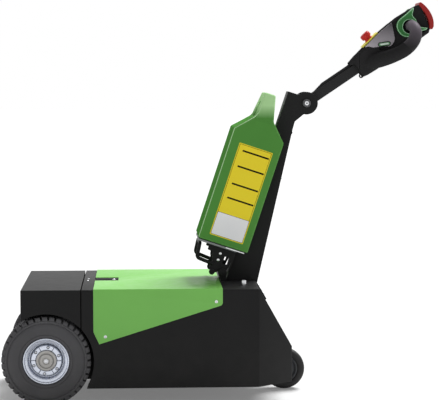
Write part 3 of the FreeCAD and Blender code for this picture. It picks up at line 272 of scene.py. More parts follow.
@dataclass(frozen=True)
class Finish:
    """A surface finish with a body colour, fine grain, soft unevenness, edges in a colour that is partly wear
    and partly painted highlight, and painted shade in hollows.
    """

    name: str
    slot: Slot
    color: Color
    worn: Color
    roughness: float = 0.45
    roughness_spread: float = 0.06
    specular: float = 0.35
    metallic: float = 0.0
    coat: float = 0.0
    coat_roughness: float = 0.15
    grain: Grain = Grain()
    waves: Grain = Grain(25.0, 0.0002, 0.10)
    shade_spread: float = 0.10
    wear: Wear = Wear()
    worn_at: Point2 = (0.45, 0.88)
    cavity_share: float = 0.5
    cavity_shade: float = 0.25
    cavity_at: Point2 = (0.35, 0.85)
    dust: Color = (0.16, 0.15, 0.14)
    dust_share: float = 0.06
    dust_height: float = 0.25
    clouds: Pattern = Pattern(6.0, 4.0, 0.35, 0.65)
    chips: Pattern = Pattern(90.0, 5.0, 0.40, 0.60)
    drifts: Pattern = Pattern(25.0, 5.0, 0.35, 0.70)
    scuffs: Pattern = Pattern(35.0, 6.0, 0.30, 0.70)

    @functools.lru_cache(maxsize=None)
    def build(self) -> bpy.types.Material:
        """Make the node material, the first time that it is asked for.

        Returns:
            The material.
        """
        paint = Paint(self.name)
        darker, lighter = self.shaded(1 - self.shade_spread), self.shaded(1 + self.shade_spread)
        color = self.tone(paint, paint.mix(paint.patches(self.clouds, 0.0, 1.0), darker, lighter))
        reach = self.wear.width
        # Painted shade: hollows, creases and joints darken towards a darker copy of the body colour.
        hollow = paint.ramp(paint.openness(2 * reach, False), *self.cavity_at, self.cavity_share, 0.0)
        color = paint.mix(hollow, color, self.shaded(self.cavity_shade))
        # Edge colour near convex edges: partly real wear, partly painted highlight standing in for bright
        # bevels.
        edge = paint.ramp(paint.openness(reach, True), *self.worn_at, self.wear.share, 0.0)
        color = paint.mix(paint.math("MULTIPLY", edge, paint.patches(self.chips, 0.2, 1.0)), color, self.worn)
        low = paint.ramp(paint.height(), 0.0, self.dust_height, self.dust_share, 0.0)
        color = paint.mix(paint.math("MULTIPLY", low, paint.patches(self.drifts, 0.3, 1.0)), color, self.dust)
        scuffed = paint.patches(self.scuffs, -self.roughness_spread, self.roughness_spread)
        paint.feed(paint.end, {
            "Base Color": color, "Metallic": self.metallic, "Specular IOR Level": self.specular,
            "Roughness": paint.math("ADD", scuffed, self.roughness), "Coat Weight": self.coat,
            "Coat Roughness": self.coat_roughness, "Normal": self.relief(paint),
        })
        return paint.material

    def shaded(self, share: float) -> Color:
        """The body colour, darker or lighter by a share."""
        return tuple(min(1.0, part * share) for part in self.color)

    def tone(self, paint: Paint, color: Socket) -> Socket:
        """Change the clean surface's colour; plain finishes keep it as it is."""
        return color

    def relief(self, paint: Paint) -> Socket:
        """The fine grain, laid on a faint waviness."""
        wave = paint.relief(paint.noise(self.waves.scale, 1.0), self.waves)
        return paint.relief(paint.noise(self.grain.scale, 2.0), self.grain, Normal=wave)


@dataclass(frozen=True)
class BrushedFinish(Finish):
    """Metal with fine turned or drawn lines along one axis."""

    stretch: Point3 = (1.0, 1.0, 0.05)

    def relief(self, paint: Paint) -> Socket:
        """Lines, by a noise that is stretched along one axis.

        Args:
            paint: the material under construction.

        Returns:
            The normal's socket.
        """
        stretched = paint.node("Mapping", {"Vector": paint.place, "Scale": self.stretch}, "Vector")
        lines = paint.node("TexNoise", {"Vector": stretched, "Scale": self.grain.scale, "Detail": 4.0}, "Fac")
        return paint.relief(lines, self.grain)


@dataclass(frozen=True)
class FadedFinish(Finish):
    """A finish that turns into a second colour between two heights: painted light and shade, lighter or
    darker towards the top.
    """

    faded: Color = (0.1, 0.1, 0.1)
    fade: Point2 = (0.0, 1.0)

    def tone(self, paint: Paint, color: Socket) -> Socket:
        """Mix in the painted light and shade between the two heights."""
        return paint.mix(paint.ramp(paint.height(), *self.fade, 0.0, 1.0), color, self.faded)


class Finishes:
    """All finishes of the machine."""

    # Its pale edge colour gives light lines along the folds, partly painted highlight.
    BLACK_COAT = Finish(
        "black_powder_coat", Slot.BLACK_PAINT, (0.0160, 0.0160, 0.0163), (0.15, 0.15, 0.15), roughness=0.50,
        roughness_spread=0.02, specular=0.11, grain=Grain(1100.0), shade_spread=0.05, wear=Wear(0.6, 0.0011),
    )
    ARM_COAT = replace(
        BLACK_COAT, name="black_arm_coat", color=(0.0380, 0.0380, 0.0388), worn=(0.05, 0.05, 0.05),
        specular=0.03, wear=Wear(),
    )
    GREEN_COAT = Finish(
        "green_powder_coat", Slot.GREEN_PAINT, (0.212, 0.585, 0.111), (0.50, 0.86, 0.38), roughness=0.42,
        grain=Grain(1100.0, 0.00005), shade_spread=0.02, dust_share=0.02,
    )
    # Painted highlight: the moulding turns pale above the shoulders where the handle catches light; its pale
    # edges are partly painted highlight and its darkened hollows painted shade.
    GREEN_MOULDING = FadedFinish(
        "green_moulding", Slot.GREEN_PLASTIC, (0.104, 0.320, 0.065), (0.42, 0.74, 0.34), roughness=0.46,
        roughness_spread=0.03, specular=0.0, grain=Grain(800.0), shade_spread=0.03, wear=Wear(0.7, 0.006),
        cavity_share=0.6, faded=(0.54, 0.88, 0.42), fade=(0.828, 0.866),
    )
    # Its pale edge colour on the horn buttons is mostly painted highlight.
    GREEN_CONTROL = Finish(
        "green_control", Slot.GREEN_PLASTIC, (0.040, 0.215, 0.050), (0.50, 0.86, 0.55), roughness=0.22,
        specular=0.55, coat=0.3, grain=Grain(1500.0, 0.00002), shade_spread=0.04, wear=Wear(0.8, 0.003),
    )
    # Painted highlight: the battery's edge beads are pale to stand in for highlight lines along its edges.
    GREEN_BEAD = replace(
        GREEN_CONTROL, name="green_bead", color=(0.50, 0.78, 0.42), worn=(0.6, 0.85, 0.5), roughness=0.35,
        specular=0.4, coat=0.0, wear=Wear(0.0),
    )
    # The paddle's edges take the pale edge colour fully, as painted highlight along its bevels.
    PADDLE = replace(
        GREEN_CONTROL, name="green_paddle", color=(0.055, 0.235, 0.066), worn=(0.62, 0.94, 0.66),
        roughness=0.30, specular=0.10, coat=0.0, wear=Wear(1.0, 0.005),
    )
    # Painted highlight: pale beads along the paddle's edges.
    PADDLE_BEAD = replace(
        GREEN_CONTROL, name="green_paddle_bead", color=(0.42, 0.78, 0.46), worn=(0.62, 0.94, 0.66),
        grain=Grain(1500.0, 0.00001), shade_spread=0.08, wear=Wear(0.0), cavity_share=0.2,
    )
    # Painted highlight: a pale inlay on each horn button stands in for its bright reflection.
    BUTTON_INLAY = replace(
        GREEN_CONTROL, name="pale_green_inlay", color=(0.80, 1.0, 0.84), worn=(0.9, 1.0, 0.9), roughness=0.2,
        specular=0.6, coat=0.5, grain=Grain(1500.0, 0.00001), wear=Wear(),
    )
    HEAD_MOULDING = Finish(
        "black_moulding", Slot.BLACK_PLASTIC, (0.0300, 0.0295, 0.0305), (0.06, 0.06, 0.06), roughness=0.50,
        specular=0.0, grain=Grain(1600.0, 0.00006, 0.4), wear=Wear(0.5, 0.003),
    )
    # Painted sheen: the grip's black turns lighter grey-purple towards the top of its bend.
    GRIP_SLEEVE = FadedFinish(
        "grip_sleeve", Slot.BLACK_PLASTIC, (0.0300, 0.0295, 0.0305), (0.10, 0.09, 0.10), roughness=0.42,
        specular=0.04, grain=Grain(1600.0, 0.00005, 0.4), wear=Wear(0.0), faded=(0.175, 0.150, 0.178),
        fade=(1.040, 1.112),
    )
    # Painted light and shade: the console's grey-purple is lit lower down and darkens towards the top.
    CONSOLE = FadedFinish(
        "grey_console", Slot.BLACK_PLASTIC, (0.560, 0.520, 0.564), (0.60, 0.58, 0.60), roughness=0.32,
        specular=0.03, grain=Grain(1600.0, 0.00004), faded=(0.128, 0.118, 0.130), fade=(1.036, 1.108),
    )
    RED = Finish(
        "red_moulding", Slot.RED_PLASTIC, (0.40, 0.028, 0.026), (0.60, 0.20, 0.18), roughness=0.38,
        specular=0.15, grain=Grain(1300.0, 0.00005), shade_spread=0.06,
    )
    STOP_RED = Finish(
        "stop_red", Slot.RED_PLASTIC, (0.62, 0.028, 0.024), (0.78, 0.30, 0.28), roughness=0.30,
        specular=0.2, grain=Grain(1300.0, 0.00003), shade_spread=0.04,
    )
    YELLOW = Finish(
        "yellow_sheet", Slot.YELLOW_PLASTIC, (1.0, 0.80, 0.026), (1.0, 0.85, 0.4), roughness=0.42,
        specular=0.25, grain=Grain(1800.0, 0.00002), shade_spread=0.02, dust_share=0.0, wear=Wear(0.0),
    )
    LEMON = replace(
        YELLOW, name="lemon_plate", color=(0.98, 0.90, 0.12), worn=(0.98, 0.94, 0.5), cavity_share=0.0,
    )
    PALE_SHEET = replace(
        YELLOW, name="pale_sheet", color=(0.96, 0.96, 0.99), worn=(0.92, 0.92, 0.92), specular=0.4,
        shade_spread=0.04, dust_share=0.06,
    )
    # Dark ink for the plate's print; also painted shade as a dark strip in the hood's notch and dark discs in
    # the pivot screws' sockets.
    DARK_INK = Finish(
        "dark_bar", Slot.BLACK_PAINT, (0.012, 0.011, 0.010), (0.03, 0.03, 0.03), roughness=0.6,
        specular=0.0, grain=Grain(1800.0, 0.00002), wear=Wear(0.0),
    )
    TYRE = Finish(
        "tyre_rubber", Slot.TYRE, (0.103, 0.102, 0.108), (0.22, 0.22, 0.22), roughness=0.78, specular=0.20,
        grain=Grain(900.0, 0.00020, 0.6), shade_spread=0.08, dust_share=0.20, wear=Wear(0.5),
    )
    CASTOR_RUBBER = Finish(
        "castor_rubber", Slot.TYRE, (0.014, 0.014, 0.015), (0.07, 0.07, 0.07), roughness=0.6, specular=0.3,
        grain=Grain(900.0, 0.00012), dust_share=0.2,
    )
    RIM = BrushedFinish(
        "rim_silver", Slot.RIM_SILVER, (0.72, 0.76, 0.86), (0.72, 0.74, 0.78), roughness=0.26, specular=0.5,
        metallic=0.65, grain=Grain(500.0, 0.00003, 0.2), shade_spread=0.04, stretch=(1.0, 0.2, 1.0),
        dust_share=0.0, cavity_share=0.9,
    )
    # Painted shade: dark blue-grey for the rim's shadowed groove, the gaps between segments and the rings
    # round the bolts.
    RIM_SHADE = replace(
        RIM, name="rim_shade", color=(0.11, 0.125, 0.16), worn=(0.25, 0.27, 0.30), roughness=0.5,
        specular=0.3, metallic=0.3, shade_spread=0.10, cavity_share=0.5,
    )
    HUB = BrushedFinish(
        "hub_grey", Slot.HUB_GREY, (0.54, 0.525, 0.50), (0.70, 0.69, 0.66), roughness=0.42, specular=0.4,
        metallic=0.2, grain=Grain(600.0, 0.00005, 0.3), shade_spread=0.08, stretch=(1.0, 0.2, 1.0),
        dust_share=0.0,
    )
    ZINC = BrushedFinish(
        "bright_zinc", Slot.ZINC, (0.74, 0.75, 0.77), (0.85, 0.85, 0.85), roughness=0.30, specular=0.5,
        metallic=0.8, grain=Grain(900.0, 0.00003, 0.3), shade_spread=0.06, dust_share=0.03,
    )
    DULL_ZINC = replace(
        ZINC, name="dull_zinc", color=(0.26, 0.27, 0.28), worn=(0.45, 0.45, 0.45), roughness=0.5,
        specular=0.3, metallic=0.3, shade_spread=0.10,
    )
    CAST = Finish(
        "grey_casting", Slot.CAST_GREY, (0.10, 0.10, 0.105), (0.22, 0.22, 0.22), roughness=0.62,
        metallic=0.1, grain=Grain(420.0, 0.0004, 0.6), shade_spread=0.15,
    )
    GREY_MOULDING = Finish(
        "grey_moulding", Slot.GREY_PLASTIC, (0.075, 0.078, 0.084), (0.20, 0.20, 0.20), roughness=0.5,
        specular=0.2, grain=Grain(1200.0, 0.00006),
    )


# ------------------------------------------------------------------ mesh work


@functools.lru_cache(maxsize=None)
def box_mm(node: str) -> tuple[Vector, Vector]:
    """A CAD node's lowest and highest corners in millimetres."""
    low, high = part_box(node)
    return low / MM, high / MM


def middle_mm(node: str) -> Vector:
    """The middle of a CAD node's box in millimetres."""
    low, high = box_mm(node)
    return (low + high) / 2


def strike(node: str, start: Point3, way: Point3) -> tuple[Vector, Vector]:
    """Where a straight line first meets a CAD node's surface.

    Args:
        node: the CAD node.
        start: the line's start in millimetres.
        way: the line's direction, one unit long.

    Returns:
        The place in millimetres and the surface's outward direction there.

    Raises:
        ValueError: the line misses the node.
    """
    met, place, outward, _ = bpy.data.objects[node].ray_cast(Vector(start) * MM, Vector(way))
    if not met:
        raise ValueError(f"nothing of {node} lies on the line from {start}")
    return place / MM, outward


def arc(centre: Point2, radius: float, start: float, end: float, steps: int) -> list[Point2]:
    """Points along an arc.

    Args:
        centre: the arc's centre.
        radius: its radius.
        start: first angle in degrees.
        end: last angle in degrees.
        steps: number of stretches.

    Returns:
        The points, the first and the last included.
    """
    angles = (math.radians(start + (end - start) * i / steps) for i in range(steps + 1))
    return [(centre[0] + radius * math.cos(a), centre[1] + radius * math.sin(a)) for a in angles]


def circle(radius: float, steps: int) -> list[Point2]:
    """Points round a circle."""
    return arc((0, 0), radius, 0, 360, steps)[:-1]


def rectangle(left: float, right: float, low: float, high: float) -> list[Point2]:
    """A rectangle's corners."""
    return [(left, low), (right, low), (right, high), (left, high)]


def rounded(across: Point2, up: Point2, radius: float, steps: int) -> list[Point2]:
    """A rectangle with round corners.

    Args:
        across: its span in the first direction.
        up: its span in the second direction.
        radius: its corners' radius.
        steps: stretches round a corner.

    Returns:
        The points.
    """
    corners = rectangle(across[0] + radius, across[1] - radius, up[0] + radius, up[1] - radius)
    turns = zip((corners[2], corners[3], corners[0], corners[1]), (0, 90, 180, 270))
    return [point for corner, start in turns for point in arc(corner, radius, start, start + 90, steps)]


def mirrored(half: Sequence[Point2], *middle: Point2) -> list[Point2]:
    """A wheel's profile from one half of it, in (radius, along) points, and what lies in its middle."""
    return [*half, *middle, *((radius, -along) for radius, along in reversed(half))]


def smooth_path(points: Sequence[Sequence[float]], steps: int) -> list[tuple[float, ...]]:
    """A smooth curve through points of any dimension.

    Args:
        points: the points that the curve passes through.
        steps: stretches between two of them.

    Returns:
        Points along the curve.
    """
    def between(a: float, b: float, c: float, d: float, t: float) -> float:
        """The value at share t of the way from b to c, where a comes before them and d after."""
        bend, twist = 2 * a - 5 * b + 4 * c - d, 3 * b - a - 3 * c + d
        return 0.5 * (2 * b + (c - a) * t + bend * t * t + twist * t ** 3)

    ends = [points[0], *points, points[-1]]
    result = []
    for corners in zip(ends, ends[1:], ends[2:], ends[3:]):
        for t in (step / steps for step in range(steps)):
            result.append(tuple(between(*values, t) for values in zip(*corners)))
    return [*result, tuple(points[-1])]


class Axis(Enum):
    """The axis that a prism runs along or a lathe turns about."""

    X = 0
    Y = 1
    Z = 2

    def point(self, a: float, b: float, along: float) -> Vector:
        """A point from two coordinates across the axis, in X, Y, Z order, and one along it."""
        across = [a, b]
        return Vector((*across[:self.value], along, *across[self.value:]))


class Mould:
    """A mesh being built in millimetres."""

    JOIN_WITHIN = 0.002
    FLAT_WITHIN = math.radians(0.6)

    def __init__(self) -> None:
        """Start with nothing."""
        self.bm = bmesh.new()

    def ring(self, points: Iterable[Vector]) -> list[Vertex]:
        """Add a row of vertices."""
        return [self.bm.verts.new(point) for point in points]

    def skin(self, rings: Sequence[Sequence[Vertex]]) -> "Mould":
        """Join neighbouring closed rings by faces.

        Args:
            rings: rings of the same count, or of one vertex where the shape ends in a tip.

        Returns:
            This mould.
        """
        for first, second in zip(rings, rings[1:]):
            for i in range(max(len(first), len(second))):
                corners = ((first, i), (first, i + 1), (second, i + 1), (second, i))
                self.bm.faces.new(list(dict.fromkeys(ring[k % len(ring)] for ring, k in corners)))
        return self

    def loft(self, sections: Iterable[Iterable[Vector]]) -> "Mould":
        """Join closed sections and cap both ends.

        Args:
            sections: sections of the same count.

        Returns:
            This mould.
        """
        rings = [self.ring(section) for section in sections]
        self.bm.faces.new(rings[0])
        self.bm.faces.new(rings[-1][::-1])
        return self.skin(rings)

    def prism(self, outline: Sequence[Point2], low: float, high: float, axis: Axis = Axis.Y) -> "Mould":
        """Add a solid of constant outline that runs from low to high along an axis."""
        return self.loft([[axis.point(a, b, along) for a, b in outline] for along in (low, high)])

    def pair(self, outline: Sequence[Point2], first: float, second: float) -> "Mould":
        """Add two such solids, one on each side of the machine.

        Args:
            outline: corners across the Y axis.
            first: where they start, from the machine's middle.
            second: where they end.

        Returns:
            This mould.
        """
        for side in Side:
            self.prism(outline, *side.span(first, second))
        return self

    def lathe(self, profile: Sequence[Point2], steps: int = 96, axis: Axis = Axis.Y) -> "Mould":
        """Turn a profile about an axis.

        Args:
            profile: (radius, along) points, where a radius of 0 closes an end and equal ends make a ring.
            steps: stretches round.
            axis: the axis of turning.

        Returns:
            This mould.
        """
        looped = profile[0] == profile[-1]
        rings = []
        for radius, along in profile[:-1] if looped else profile:
            spots = circle(radius, steps) if radius else [(0, 0)]
            rings.append(self.ring(axis.point(a, b, along) for a, b in spots))
        return self.skin(rings + rings[:1] if looped else rings)

    def tube(self, path: Sequence[Sequence[float]], steps: int = 28) -> "Mould":
        """Carry a circle along a path.

        Args:
            path: (x, y, z, radius) points along the way.
            steps: stretches round the circle.

        Returns:
            This mould.
        """
        spots = [Vector(sample[:3]) for sample in path]
        across = (spots[1] - spots[0]).orthogonal()
        sections = []
        for before, spot, after, sample in zip(spots[:1] + spots, spots, spots[1:] + spots[-1:], path):
            ahead = (after - before).normalized()
            across = (across - ahead * across.dot(ahead)).normalized()
            lift = ahead.cross(across)
            sections.append([spot + a * across + b * lift for a, b in circle(sample[3], steps)])
        return self.loft(sections)

    def move(self, matrix: Matrix) -> "Mould":
        """Move everything built so far."""
        self.bm.transform(matrix)
        return self

    def shift(self, x: float, y: float, z: float) -> "Mould":
        """Shift everything built so far."""
        return self.move(Matrix.Translation((x, y, z)))

    def take(self, node: str) -> "Mould":
        """Start from a CAD node's shape, with flat stretches made whole again.

        Args:
            node: the CAD node.

        Returns:
            This mould.
        """
        self.bm.from_mesh(bpy.data.objects[node].data)
        self.move(Matrix.Scale(1 / MM, 4))
        verts, edges = self.bm.verts, self.bm.edges
        bmesh.ops.remove_doubles(self.bm, verts=verts, dist=self.JOIN_WITHIN)
        bmesh.ops.dissolve_limit(self.bm, angle_limit=self.FLAT_WITHIN, verts=verts, edges=edges)
        return self

    def object(self, name: str) -> Thing:
        """Close the work and make a Blender object in metres.

        Args:
            name: the object's name.

        Returns:
            The object, linked to the scene.
        """
        bmesh.ops.recalc_face_normals(self.bm, faces=self.bm.faces)
        self.move(Matrix.Scale(MM, 4))
        mesh = bpy.data.meshes.new(name)
        self.bm.to_mesh(mesh)
        self.bm.free()
        return link(name, mesh)


def link(name: str, data: bpy.types.ID) -> Thing:
    """Put a mesh, lamp or camera into the scene.

    Args:
        name: the object's name.
        data: what the object shows.

    Returns:
        The object.
    """
    thing = bpy.data.objects.new(name, data)
    bpy.context.scene.collection.objects.link(thing)
    return thing


def alter(thing: Thing, kind: str, **settings: object) -> None:
    """Add a modifier.

    Args:
        thing: the object.
        kind: Blender's name for the kind of modifier.
        settings: the modifier's own settings.
    """
    modifier = thing.modifiers.new(kind.lower(), kind)
    for name, value in settings.items():
        setattr(modifier, name, value)


def settle(thing: Thing) -> Thing:
    """Make an object's modifiers part of its mesh.

    Args:
        thing: the object.

    Returns:
        The object.
    """
    bpy.context.view_layer.update()
    seen = thing.evaluated_get(bpy.context.evaluated_depsgraph_get())
    mesh = bpy.data.meshes.new_from_object(seen)
    thing.modifiers.clear()
    thing.data = mesh
    return thing


def round_edges(thing: Thing, width: float, segments: int = 3, angle: float = SHARP) -> Thing:
    """Round an object's sharp edges.

    Args:
        thing: the object.
        width: the rounding's width in millimetres.
        segments: facets across it.
        angle: edges sharper than this many degrees are rounded.

    Returns:
        The object.
    """
    alter(thing, "BEVEL", width=width * MM, segments=segments, limit_method="ANGLE",
          angle_limit=math.radians(angle), miter_outer="MITER_ARC", use_clamp_overlap=True)
    return settle(thing)


def cut(thing: Thing, *cutters: Thing) -> Thing:
    """Cut other objects' shapes out of an object and throw them away.

    Args:
        thing: the object.
        cutters: the other objects.

    Returns:
        The object.
    """
    for cutter in cutters:
        alter(thing, "BOOLEAN", operation="DIFFERENCE", solver="EXACT", object=cutter)
    settle(thing)
    for cutter in cutters:
        bpy.data.objects.remove(cutter)
    return thing


def melt(first: Thing, *others: Thing, voxel: float, passes: int) -> Thing:
    """Melt overlapping closed objects into one smooth skin.

    Args:
        first: the object that gets the skin.
        others: the other objects, which are used up.
        voxel: size of the skin's faces in millimetres.
        passes: smoothing passes over the joints.

    Returns:
        The first object.
    """
    whole = bmesh.new()
    for thing in (first, *others):
        whole.from_mesh(thing.data)
    whole.to_mesh(first.data)
    whole.free()
    for thing in others:
        bpy.data.objects.remove(thing)
    alter(first, "REMESH", mode="VOXEL", voxel_size=voxel * MM)
    alter(first, "SMOOTH", factor=0.5, iterations=passes)
    return settle(first)


def dress(thing: Thing, finish: Finish, body: Body, *replaced: str, angle: float = SHARP) -> None:
    """Give a piece its finish, shading, body and the CAD nodes that it stands for.

    Args:
        thing: the piece.
        finish: its finish.
        body: the body that it rides on.
        replaced: CAD nodes that it stands for.
        angle: edges sharper than this many degrees are shaded crisp.
    """
    mesh = thing.data
    mesh.materials.clear()
    mesh.materials.append(finish.build())
    mesh.polygons.foreach_set("use_smooth", [True] * len(mesh.polygons))
    mesh.set_sharp_from_angle(angle=math.radians(angle))
    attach(thing, body.value)
    if replaced:
        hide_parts(*replaced)
    LOG.info("%s: %d faces, rides on %s", thing.name, len(mesh.polygons), body.value)


@dataclass(frozen=True)
class Screw:
    """A button-head screw with a round socket."""

    head_radius: float
    head_height: float
    socket_radius: float
    sunk: float = 0.3
    rim: float = 0.25
    socket_floor: float = 0.4

    def build(self, mould: Mould, spot: Vector, way: Vector) -> None:
        """Add the head, standing on a surface.

        Args:
            mould: the mould to add to.
            spot: where the head sits, in millimetres.
            way: the direction that the head points.
        """
        radius, rise, socket, rim = self.head_radius, self.head_height, self.socket_radius, self.rim
        dome = [(radius * math.cos(a), rise * (rim + (1 - rim) * math.sin(a))) for a in (0.35, 0.7, 1.0)]
        floor = self.socket_floor * rise
        known = len(mould.bm.verts)
        mould.lathe([(0, -self.sunk), (radius, -self.sunk), (radius, rim * rise), *dome,
                     (socket, rise), (socket, floor), (0, floor)], 24, Axis.Z)
        mould.bm.verts.ensure_lookup_table()
        turn = UP.rotation_difference(way).to_matrix().to_4x4()
        bmesh.ops.transform(mould.bm, matrix=Matrix.Translation(spot) @ turn, verts=mould.bm.verts[known:])


# ------------------------------------------------------------------ sub-assemblies


class Assembly:
    """A sub-assembly, whose pieces ride on one body and are laid out in its own directions."""

    body: Body = Body.CHASSIS

    @property
    def seat(self) -> Matrix:
        """Turns the sub-assembly's coordinates into the machine's."""
        return Matrix()

    def fit(self, shape: Mould | Thing, name: str, finish: Finish, *replaced: str,
            edges: Sequence[float] = (), angle: float = SHARP) -> None:
        """Round a piece's edges, put it in place and dress it.

        Args:
            shape: its shape.
            name: its name.
            finish: its finish.
            replaced: CAD nodes that it stands for.
            edges: width, facets and least angle of its edges' rounding; none leaves them sharp.
            angle: edges sharper than this many degrees are shaded crisp.
        """
        thing = shape.object(name) if isinstance(shape, Mould) else shape
        thing.name = name
        if edges:
            round_edges(thing, *edges)
        matrix = self.seat.copy()
        matrix.translation *= MM
        thing.data.transform(matrix)
        dress(thing, finish, self.body, *replaced, angle=angle)

    def sheets(self, finish: Finish, *nodes: str, rounding: float = 1.0, segments: int = 3,
               angle: float = SHARP) -> None:
        """Pieces in their CAD nodes' shapes, with their edges rounded.

        Args:
            finish: their finish.
            nodes: the CAD nodes.
            rounding: the edges' rounding in millimetres.
            segments: facets across a rounded edge.
            angle: edges sharper than this many degrees are rounded.
        """
        for node in nodes:
            thing = Mould().take(node).object(f"{node}_finished")
            dress(round_edges(thing, rounding, segments, angle), finish, self.body, node)

    def fasten(self, name: str, spots: Iterable[tuple[Vector, Vector]], screw: Screw,
               finish: Finish = Finishes.ZINC) -> None:
        """Put one kind of screw at several places, as one piece.

        Args:
            name: the piece's name.
            spots: pairs of place and direction, on the machine.
            screw: the kind of screw.
            finish: its finish.
        """
        whole = Mould()
        for spot, way in spots:
            screw.build(whole, spot, way)
        dress(whole.object(name), finish, self.body)


@dataclass
class Chassis(Assembly):
    """Folded sheet-metal body, its fasteners and what shows of the running gear."""

    fold: float = 1.4
    hem: float = 6.0
    front_screw: Point2 = (34.6, 202.0)
    rear_screw: Point2 = (18.6, 302.0)
    notch_screw: float = 56.6
    bridge_screw_ahead: float = 13.0
    bridge_screws: tuple[float, ...] = (-20.0, 24.0)
    notch: Point2 = (72.0, 6.4)
    stud_ahead: float = 39.5
    stud_side: float = -143.0
    stud_radius: float = 6.3
    stud_height: float = 15.0

    def build(self) -> None:
        """Build every piece of the chassis."""
        self.sheets(Finishes.BLACK_COAT, "front_bridge", "deck_plate", "slope_panel", rounding=self.fold)
        for side in Side:
            self.side_panel(side)
        self.sheets(Finishes.BLACK_COAT, "front_cover", rounding=self.fold, angle=20)
        self.sheets(Finishes.BLACK_COAT, "floor_pan", "front_bulkhead", "castor_shelf", "frame_rails",
                    "hitch_plate", rounding=0.8, segments=2)
        self.sheets(Finishes.GREEN_COAT, "hood", rounding=0.9)
        self.sheets(Finishes.ZINC, "tow_jaw", rounding=1.5)
        self.sheets(Finishes.ZINC, "castor_plate")
        self.sheets(Finishes.CAST, "axle_housing", "drive_motor", rounding=2.0)
        self.screws()
        self.stud()

    def side_panel(self, side: Side) -> None:
        """One side panel, with its lower edge hemmed a little below the floor pan.

        Args:
            side: the panel's side.
        """
        node = f"side_panel_{side.word}"
        low = box_mm(node)[0].z
        panel = Mould().take(node)
        for vertex in panel.bm.verts:
            if vertex.co.z < low + 1:
                vertex.co.z -= self.hem
        self.fit(panel, f"{node}_finished", Finishes.BLACK_COAT, node, edges=(self.fold,))

    def screws(self) -> None:
        """Hood screws on both sides, the notch's and the bridge's, and a dark strip of painted shade in the
        hood's notch.
        """
        low, high = box_mm("hood")
        deck = box_mm("deck_plate")[1].z
        spots = [(Vector((low.x + self.notch_screw, 0, deck)), UP)]
        (front, front_height), (rear, rear_height) = self.front_screw, self.rear_screw
        for side in Side:
            for x, z in ((low.x + front, front_height), (high.x - rear, rear_height)):
                spots.append((Vector((x, side.value * high.y, z)), side.out))
        self.fasten("hood_screws", spots, Screw(4.9, 3.0, 1.9))
        ahead = box_mm("front_bridge")[0].x + self.bridge_screw_ahead
        spots = [(Vector((ahead, across, deck)), UP) for across in self.bridge_screws]
        self.fasten("bridge_screws", spots, Screw(2.4, 1.8, 0.9))
        # Painted shade: a dark strip on the deck inside the hood's notch.
        length, half = self.notch
        outline = rectangle(low.x + 1, low.x + length, -half, half)
        strip = Mould().prism(outline, deck - 0.5, deck + 0.35, Axis.Z)
        self.fit(strip, "notch_strip", Finishes.DARK_INK, edges=(0.3, 2))

    def stud(self) -> None:
        """Bright standing stud with a round cap on the rear deck."""
        bend = box_mm("deck_plate")[1]
        radius, rise = self.stud_radius, self.stud_height
        profile = [(0, -0.5), (radius * 0.7, -0.5), (radius * 0.7, 2.5), (radius, 3.2), (radius, rise - 2.5),
                   (radius - 0.8, rise - 0.8), (radius - 2.6, rise), (0, rise)]
        stud = Mould().lathe(profile, 32, Axis.Z).shift(bend.x - self.stud_ahead, self.stud_side, bend.z)
        self.fit(stud, "deck_stud", Finishes.ZINC)


